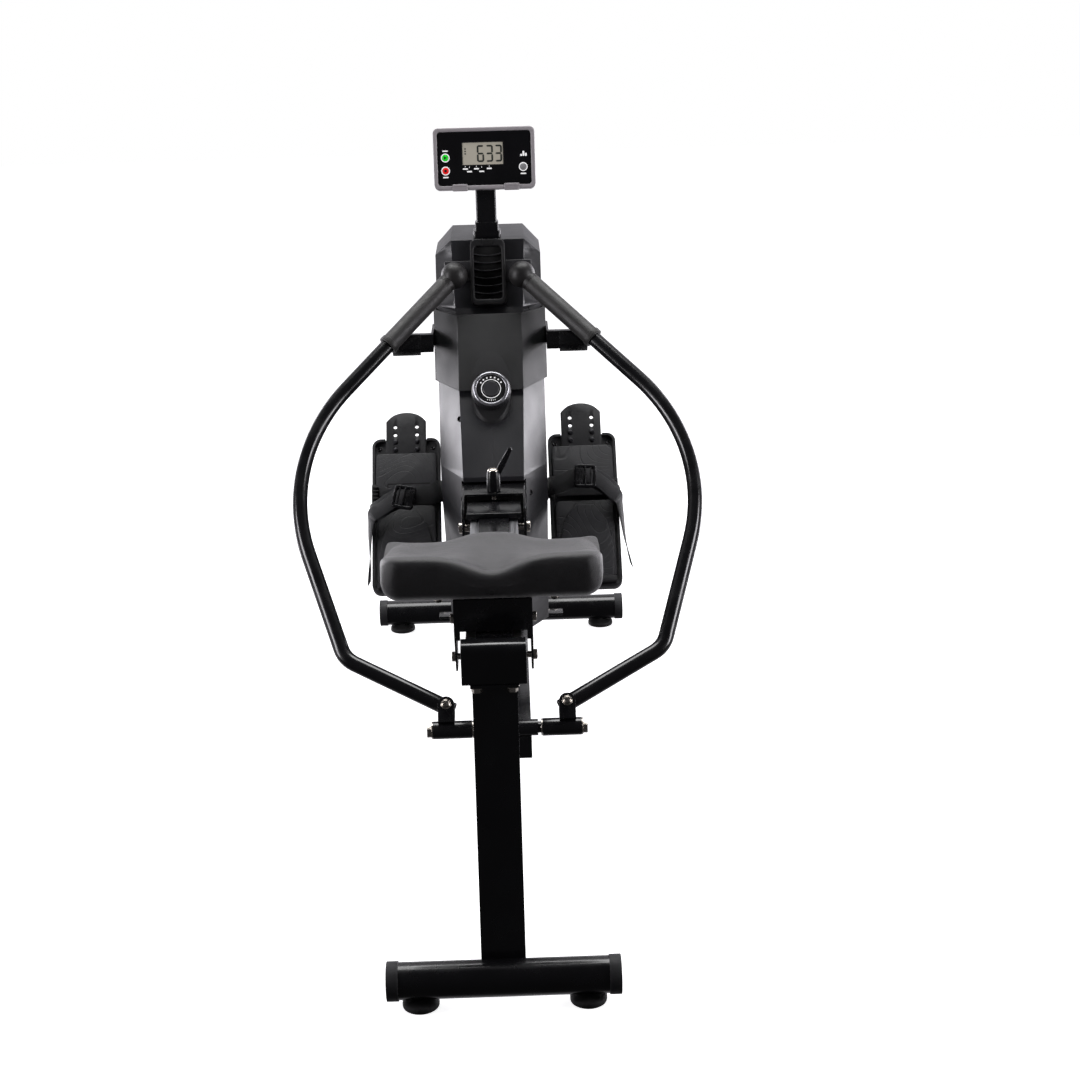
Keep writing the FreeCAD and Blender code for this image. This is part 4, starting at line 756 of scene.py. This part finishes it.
def seat_pad():
    """The moulded pad: sections blended along its width with rounded ends, then inflated a little as cloth."""
    stations, around = 72, 84
    rings = []
    bm = bmesh.new()
    for k in range(stations + 1):
        x = -SEAT_HALF * math.cos(math.pi * k / stations) * 0.35 - SEAT_HALF * (1 - 2 * k / stations) * 0.65
        closed = [Vector((0, y, z)) for y, z in seat_ring(x)]
        count = len(closed)
        line = []
        for i in range(around):
            t = count * i / around
            j, t = int(t), t - int(t)
            line.append(blended(*(closed[(j + o) % count] for o in (-1, 0, 1, 2)), t))
        over = max(0.0, (abs(x) - (SEAT_HALF - SEAT_END)) / SEAT_END)
        draw = SEAT_END * (1 - math.sqrt(max(0.0, 1 - min(over, 1) ** 2)))
        middle = Vector((0, sum(p.y for p in line) / around, sum(p.z for p in line) / around))
        ring = []
        for p in line:
            away = p - middle
            pulled = Vector((x, p.y - math.copysign(min(draw, abs(away.y)), away.y),
                             p.z - math.copysign(min(draw * 0.62, abs(away.z)), away.z)))
            ring.append(bm.verts.new(pulled))
        rings.append(ring)
    for one, two in zip(rings, rings[1:]):
        for i in range(around):
            bm.faces.new((one[i], one[(i + 1) % around], two[(i + 1) % around], two[i]))
    bm.faces.new(rings[0])
    bm.faces.new(rings[-1][::-1])
    ends = [f for f in bm.faces if len(f.verts) > 4]
    bmesh.ops.poke(bm, faces=ends)
    pad = piece("seat_cushion", bm, ROW, 60)
    inflate(pad)
    part = pad.modifiers.new("fine", "SUBSURF")
    part.levels = part.render_levels = 1
    applied(pad)
    for vert in pad.data.vertices:
        x, y, z = vert.co * 1000
        if z > 545 and y < -505:
            crease = math.exp(-((y + 524 + 0.0016 * (x + 12) ** 2) / 1.5) ** 2) \
                * math.exp(-((x + 12) / 30) ** 4)
            second = math.exp(-((y + 531 + 0.0011 * (x - 8) ** 2) / 1.6) ** 2) \
                * math.exp(-((x - 8) / 22) ** 4)
            vert.co.z -= 0.0007 * crease + 0.0005 * second
    shaded(pad, 60)
    dressed(pad, "seat", "seat_skin")
    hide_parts("seat_pad")
    bm = bmesh.new()
    add_prism(bm, rounded_rectangle(252, 158, 18, centre=(0, -450)), 522.1, 524.4, 0.6)
    dressed(piece("seat_board", bm, ROW), "seat", "lever_plastic")
    bm = bmesh.new()
    add_turned(bm, [(0, 0), (2.2, 0.2), (3.4, -0.2), (3.6, -1.6)], 24)
    plug = Matrix.Translation((0, -0.5524, 0.5365)) @ Matrix.Rotation(math.radians(90), 4, "X") @ ROW
    # the plug shows as a near-black spot on the pad's rear
    dressed(piece("seat_plug", bm, plug), "seat", "lever_plastic", EXTRA["painted_shade_and_print"])


def inflate(pad):
    """A short cloth run under slight pressure, capped, with the underside held flat."""
    held = pad.vertex_groups.new(name="held")
    held.add([v.index for v in pad.data.vertices if v.co.z < 0.5275], 1.0, "REPLACE")
    before = [v.co.copy() for v in pad.data.vertices]
    cloth = pad.modifiers.new("skin", "CLOTH")
    cloth.settings.quality = 6
    cloth.settings.use_pressure = True
    cloth.settings.uniform_pressure_force = 3.0
    cloth.settings.effector_weights.gravity = 0
    cloth.settings.vertex_group_mass = "held"
    cloth.settings.tension_stiffness = 40
    cloth.settings.compression_stiffness = 40
    cloth.point_cache.frame_start = 1
    cloth.point_cache.frame_end = CLOTH_FRAMES
    scene = bpy.context.scene
    for step in range(1, CLOTH_FRAMES + 1):
        scene.frame_set(step)
    applied(pad)
    scene.frame_set(1)
    for vert, start in zip(pad.data.vertices, before):
        move = vert.co - start
        if move.length > CLOTH_LIMIT:
            vert.co = start + move * (CLOTH_LIMIT / move.length)


# ---------------------------------------------------------------- foot plates

def side_place(sign):
    """The foot plate's frame, mirrored for the left side."""
    return PEDAL if sign > 0 else FLIP @ PEDAL


def arched_toe(place, drop):
    """Gives the toe extension its arched upper edge."""
    back = place.inverted()

    def bend(bm):
        bm.transform(back)
        for x in range(126, 192, 4):
            bmesh.ops.bisect_plane(bm, geom=bm.verts[:] + bm.edges[:] + bm.faces[:], plane_co=(x, 0, 0),
                                   plane_no=(1, 0, 0))
        for vert in bm.verts:
            over = min(max((vert.co.y + drop - 146) / 20, 0.0), 1.0)
            vert.co.y -= over * 15 * abs((vert.co.x - PLATE_X) / 36) ** 2.2
        bm.transform(place)
    return bend


def foot_plates():
    """Rounded plates with their contoured treads, screws, strap anchors and straps."""
    for side, sign in SIDES:
        body = "pedal_" + side
        place = side_place(sign)
        softened("foot_plate_" + side, 0.0024, 3)
        drop = LEFT_DROP if side == "left" else 0
        softened("toe_extension_" + side, 0.0008, 2, reshape=arched_toe(place, drop))
        bm = bmesh.new()
        top = 75 if side == "left" else 80.5
        add_prism(bm, rounded_rectangle(109, top + 17.5, 8, centre=(PLATE_X, (top - 17.5) / 2)),
                  27.8, 30.6, 1.2, 3)
        add_prism(bm, rounded_rectangle(108, 60, 7, centre=(PLATE_X, 14)), 22.6, 23.2)
        add_prism(bm, rounded_rectangle(104, 146, 10, centre=(PLATE_X, -98)), 22.6, 26.8, 1.4, 3)
        add_prism(bm, [(112, -178), (204, -178), (207, -120), (196, -64), (174, -34), (142, -34), (120, -64),
                       (109, -120)], 26.4, 29.4, 1.5, 3)
        dressed(piece("tread_" + side, bm, place), body, "pedal_plastic", EXTRA["tread"])
        bm = bmesh.new()
        add_prism(bm, rounded_rectangle(76, 2.4, 0.8, 2, centre=(154, 15.5)), 30.3, 30.8)
        add_prism(bm, rounded_rectangle(2.0, 8, 0.8, 2, centre=(191, 11.5)), 30.3, 30.8)
        # the grooves are near black: painted shade in them
        dressed(piece("tread_groove_" + side, bm, place), body, "pedal_plastic", EXTRA["painted_shade_and_print"])
        bm = bmesh.new()
        for x in (110, 206):
            add_turned(bm, [(0, 23.6), (1.2, 23.6), (2.8, 24.6), (3.6, 24.2), (3.8, 22.8)], 24, (x, 87))
        dressed(piece("plate_screws_" + side, bm, place), body, "pedal_plastic", MATS["lever_plastic"])
        bm = bmesh.new()
        for level in (107.6, 92.2):
            for x in (138.5, 177.5):
                add_turned(bm, [(0, 29.0), (1.3, 29.1), (1.6, 29.9), (3.4, 29.5), (4.5, 28.3), (4.8, 27.4)], 28,
                           (x, level - drop))
        dressed(piece("toe_screws_" + side, bm, place), body, "nickel", MATS["shaft_steel"])
        bm = bmesh.new()
        for x in (97.5, 218.5):
            add_block(bm, (9, 34, 22), (x + (4 if x < 150 else -4), -6, 31), 2.0)
        for x, turn in ((104, 1), (212, -1)):
            for level in (-16, -9, -2, 5):
                add_block(bm, (11, 3, 25), (x, level, 32), 1.0)
        dressed(piece("strap_anchors_" + side, bm, place), body, "pedal_plastic", MATS["foot_rubber"])
        straps(side, body, place)


def straps(side, body, place):
    """The webbing over the foot, its ladder buckle, and the tail that hangs down outside the plate."""
    low = -30.0 if side == "left" else 0.0
    band, run = ribbon("strap_band_" + side,
                       [(93.8, 0, 17), (93.6, -2, 34), (96.5, -4, 46), (106, -6 + low * 0.3, 55),
                        (124, -3 + low * 0.6, 62), (144, 3 + low * 0.85, 66), (164, 4 + low, 67),
                        (184, -4 + low, 65), (202, -16 + low * 0.9, 59), (214, -25 + low * 0.7, 49),
                        (220.6, -27 + low * 0.6, 36), (222.4, -24 + low * 0.5, 20)],
                       [(0, 1, 0), (0, 1, 0), (0.1, 1, 0), (0.1, 1, 0), (0, 1, 0), (-0.05, 1, 0), (0, 1, 0.1),
                        (0.15, 1, 0.1), (0.3, 1, 0), (0.3, 1, 0), (0.1, 1, 0), (0, 1, 0)],
                       BAND_WIDTH, BAND_THICK, place)
    dressed(band, body, "webbing")
    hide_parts("foot_strap_" + side)
    drop = Vector((0, -math.sin(math.radians(PEDAL_TILT)), -math.cos(math.radians(PEDAL_TILT))))
    lip = Vector((217, -30 + low * 0.7, 50))
    tail_points = [(152, 6 + low, 70), (170, 2 + low, 71.5), (190, -10 + low, 67),
                   (206, -23 + low * 0.8, 59), lip]
    outward = 1.0 if side == "right" else 0.2
    sway = ((18, 4.0), (44, 6.5 + outward), (74, 7.5 + 4 * outward), (104, 8.5 + 9 * outward),
            (128, 10 + 13 * outward))
    tail_points += [lip + drop * d + Vector((o, 0, 0)) for d, o in sway]
    tail_wide = [(0, 1, 0), (0, 1, 0), (0.1, 1, 0), (0.2, 1, 0), (0.25, 1, 0.1), (0.3, 1, -0.4), (0.25, 0.9, -0.6),
                 (0.1, 0.8, -0.7), (-0.1, 0.8, -0.7), (-0.15, 0.8, -0.7)]
    tail, tail_run = ribbon("strap_tail_" + side, tail_points, tail_wide, TAIL_WIDTH, TAIL_THICK, place)
    dressed(tail, body, "webbing")
    parts = bmesh.new()
    add_ring(parts, rounded_rectangle(38, 43, 6), rounded_rectangle(28, 33, 3), -2.2, 3.2, 1.2, 3)
    for i, x in enumerate((-9.5, 0, 9.5)):
        add_block(parts, (3.2, 35, 3.0), (x, 0, 1.4 + 1.0 * (i % 2)), 1.1)
    for i in range(6):
        add_block(parts, (1.6, 28, 1.6), (-16 + 2.2 * i, 0, 3.8 - 0.25 * i), 0.5)
    turn = 12 if side == "left" else -2
    parts.transform(Matrix.Translation((160, 3 + low, 70)) @ Matrix.Rotation(math.radians(turn), 4, "Z"))
    buckle = dressed(piece("strap_ladder_" + side, parts, place), body, "buckle_plastic")
    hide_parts("strap_buckle_" + side)


# ---------------------------------------------------------------- feet and lever

def feet():
    """Domed rubber discs on a threaded stud with a thin lock nut."""
    for node in ("front_foot_left", "front_foot_right", "rear_foot_left", "rear_foot_right"):
        low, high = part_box(node)
        x, y = (low.x + high.x) * 500, (low.y + high.y) * 500
        place = Matrix.Scale(0.001, 4) @ Matrix.Translation((x, y, 0))
        bm = bmesh.new()
        add_turned(bm, [(0, 0.0), (22.5, 0.0), (24.6, 0.9), (25, 2.4), (25, 6.6), (24.4, 8.2), (21, 10.2),
                        (15, 12.2), (11, 13.2), (9.6, 14.2), (9.2, 16.4), (0, 16.6)], 72)
        for vert in bm.verts:
            run = math.hypot(vert.co.x, vert.co.y)
            if run > 24.8 and 2 < vert.co.z < 7:
                turn = math.atan2(vert.co.y, vert.co.x)
                vert.co.xy *= 1 - 0.012 * max(0.0, math.cos(24 * turn))
        disc = dressed(piece(node + "_disc", bm, place, 40), node, "foot_rubber")
        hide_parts(node)
        bm = bmesh.new()
        thread = [(0, 16)]
        for i in range(7):
            thread += [(4.2, 16.2 + 1.6 * i), (4.9, 17.0 + 1.6 * i)]
        thread += [(4.2, 27.8), (0, 27.8)]
        add_turned(bm, thread, 32)
        nut = [(8.2 * math.cos(math.radians(60 * i)), 8.2 * math.sin(math.radians(60 * i))) for i in range(6)]
        add_prism(bm, nut, 17, 20.6, 0.5)
        dressed(piece(node + "_stud", bm, place), node, "nickel", MATS["shaft_steel"])


def clamp_lever():
    """A ridged hub with a polished cap, its stud below, and a flat arm that rises to one side."""
    base = Matrix.Scale(0.001, 4) @ Matrix.Translation((0, 59, 488))
    bm = bmesh.new()
    add_turned(bm, [(0, 0.4), (9.6, 0.4), (11, 1.6), (11.4, 5), (11.2, 22), (10.6, 32), (9.6, 36),
                    (0, 36)], 48)
    arm_outline = [(-2, -5), (14, -5.5), (32, -4.4), (45, -3.6), (48, 0), (45, 3.6), (32, 4.4), (14, 5.5),
                   (-2, 5)]
    parts = bmesh.new()
    add_prism(parts, arm_outline, -3.0, 3.0, 1.6, 3)
    lean = Matrix.Translation((8, 0, 32)) @ Matrix.Rotation(math.radians(-62), 4, "Y") @ \
        Matrix.Rotation(math.radians(90), 4, "X")
    parts.transform(lean)
    mesh = bpy.data.meshes.new("lever_arm")
    parts.to_mesh(mesh)
    parts.free()
    bm.from_mesh(mesh)
    hub = dressed(piece("lever_body", bm, base, 40), "clamp_lever", "lever_plastic")
    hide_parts("clamp_lever")
    bm = bmesh.new()
    add_turned(bm, [(0, 40.2), (4, 39.8), (7.6, 38.4), (9.0, 36.6), (9.2, 35.4)], 40)
    add_turned(bm, [(4.0, -14), (4.0, 0.6)], 24)
    dressed(piece("lever_cap", bm, base), "clamp_lever", "nickel")


# ---------------------------------------------------------------- camera and light

def camera():
    """The view of the photo."""
    pitch, yaw, roll = (math.radians(v) for v in (CAMERA_PITCH, CAMERA_YAW, CAMERA_ROLL))
    ahead = Vector((math.sin(yaw) * math.cos(pitch), math.cos(yaw) * math.cos(pitch), -math.sin(pitch)))
    right = Vector((math.cos(yaw), -math.sin(yaw), 0))
    up = right.cross(ahead)
    right, up = (math.cos(roll) * right + math.sin(roll) * up,
                 -math.sin(roll) * right + math.cos(roll) * up)
    data = bpy.data.cameras.new("camera")
    data.lens = CAMERA_LENS
    data.sensor_width = CAMERA_SENSOR
    data.clip_end = 50
    obj = bpy.data.objects.new("camera", data)
    bpy.context.scene.collection.objects.link(obj)
    turn = Matrix((right, up, -ahead)).transposed().to_4x4()
    obj.matrix_world = Matrix.Translation(CAMERA_AT) @ turn
    bpy.context.scene.camera = obj


def area_light(name, place, target, size, power, colour=(1, 1, 1)):
    """A rectangular lamp at place, aimed at target."""
    data = bpy.data.lights.new(name, "AREA")
    data.shape = "RECTANGLE"
    data.size, data.size_y = size
    data.energy = power
    data.color = colour
    obj = bpy.data.objects.new(name, data)
    bpy.context.scene.collection.objects.link(obj)
    direction = Vector(target) - Vector(place)
    aim = direction.to_track_quat("-Z", "Y").to_matrix().to_4x4()
    obj.matrix_world = Matrix.Translation(place) @ aim


def studio():
    """A white floor, surroundings that are bright in front and dark behind the camera, and soft lights."""
    bpy.context.scene.view_settings.view_transform = "Standard"
    bm = bmesh.new()
    bmesh.ops.create_grid(bm, x_segments=4, y_segments=4, size=9)
    floor = piece("floor", bm)
    pale = surface("pale_floor", (0.80, 0.80, 0.81), 0.8, grain=(60, 0.02), tint=0.01, blotch=2)
    shader = pale.node_tree.nodes["Principled BSDF"]
    shader.inputs["Emission Color"].default_value = (1, 1, 1, 1)
    shader.inputs["Emission Strength"].default_value = FLOOR_GLOW
    floor.data.materials.append(pale)
    floor.visible_diffuse = False
    floor.visible_glossy = False
    world = bpy.data.worlds.new("studio")
    bpy.context.scene.world = world
    world.use_nodes = True
    tree = world.node_tree
    seen = tree.nodes["Background"]
    seen.inputs["Color"].default_value = (1.0, 1.0, 1.0, 1)
    seen.inputs["Strength"].default_value = 1.0
    lit = tree.nodes.new("ShaderNodeBackground")
    lit.inputs["Color"].default_value = (0.97, 0.95, 1.0, 1)
    direction = tree.nodes.new("ShaderNodeTexCoord")
    split = tree.nodes.new("ShaderNodeSeparateXYZ")
    fade = tree.nodes.new("ShaderNodeMapRange")
    fade.inputs["From Min"].default_value = -0.15
    fade.inputs["From Max"].default_value = 0.75
    fade.inputs["To Min"].default_value = 0.03
    fade.inputs["To Max"].default_value = 0.60
    tree.links.new(direction.outputs["Generated"], split.inputs["Vector"])
    tree.links.new(split.outputs["Y"], fade.inputs["Value"])
    tree.links.new(fade.outputs["Result"], lit.inputs["Strength"])
    path = tree.nodes.new("ShaderNodeLightPath")
    mix = tree.nodes.new("ShaderNodeMixShader")
    tree.links.new(path.outputs["Is Camera Ray"], mix.inputs["Fac"])
    tree.links.new(lit.outputs["Background"], mix.inputs[1])
    tree.links.new(seen.outputs["Background"], mix.inputs[2])
    tree.links.new(mix.outputs["Shader"], tree.nodes["World Output"].inputs["Surface"])
    area_light("overhead", (0, 0.9, 3.0), (0, 0.1, 0.3), (2.4, 1.6), OVERHEAD_POWER)
    area_light("left_strip", (-2.7, -0.9, 1.1), (0, 0, 0.5), (0.7, 2.2), STRIP_POWER, COOL_WHITE)
    area_light("right_strip", (2.7, -0.9, 1.1), (0, 0, 0.5), (0.7, 2.2), STRIP_POWER, COOL_WHITE)
    area_light("left_sweep", (-2.3, 2.3, 0.6), (0, 0, 0.5), (1.5, 2.2), SWEEP_POWER, SWEEP_WHITE)
    area_light("right_sweep", (2.3, 2.3, 0.6), (0, 0, 0.5), (1.5, 2.2), SWEEP_POWER, SWEEP_WHITE)


# ---------------------------------------------------------------- build

dress_cad_nodes()
soften_frame()
soften_housing()
monitor()
housing_details()
tension_knob()
ribbed_frame()
seat_pad()
foot_plates()
feet()
clamp_lever()
camera()
studio()
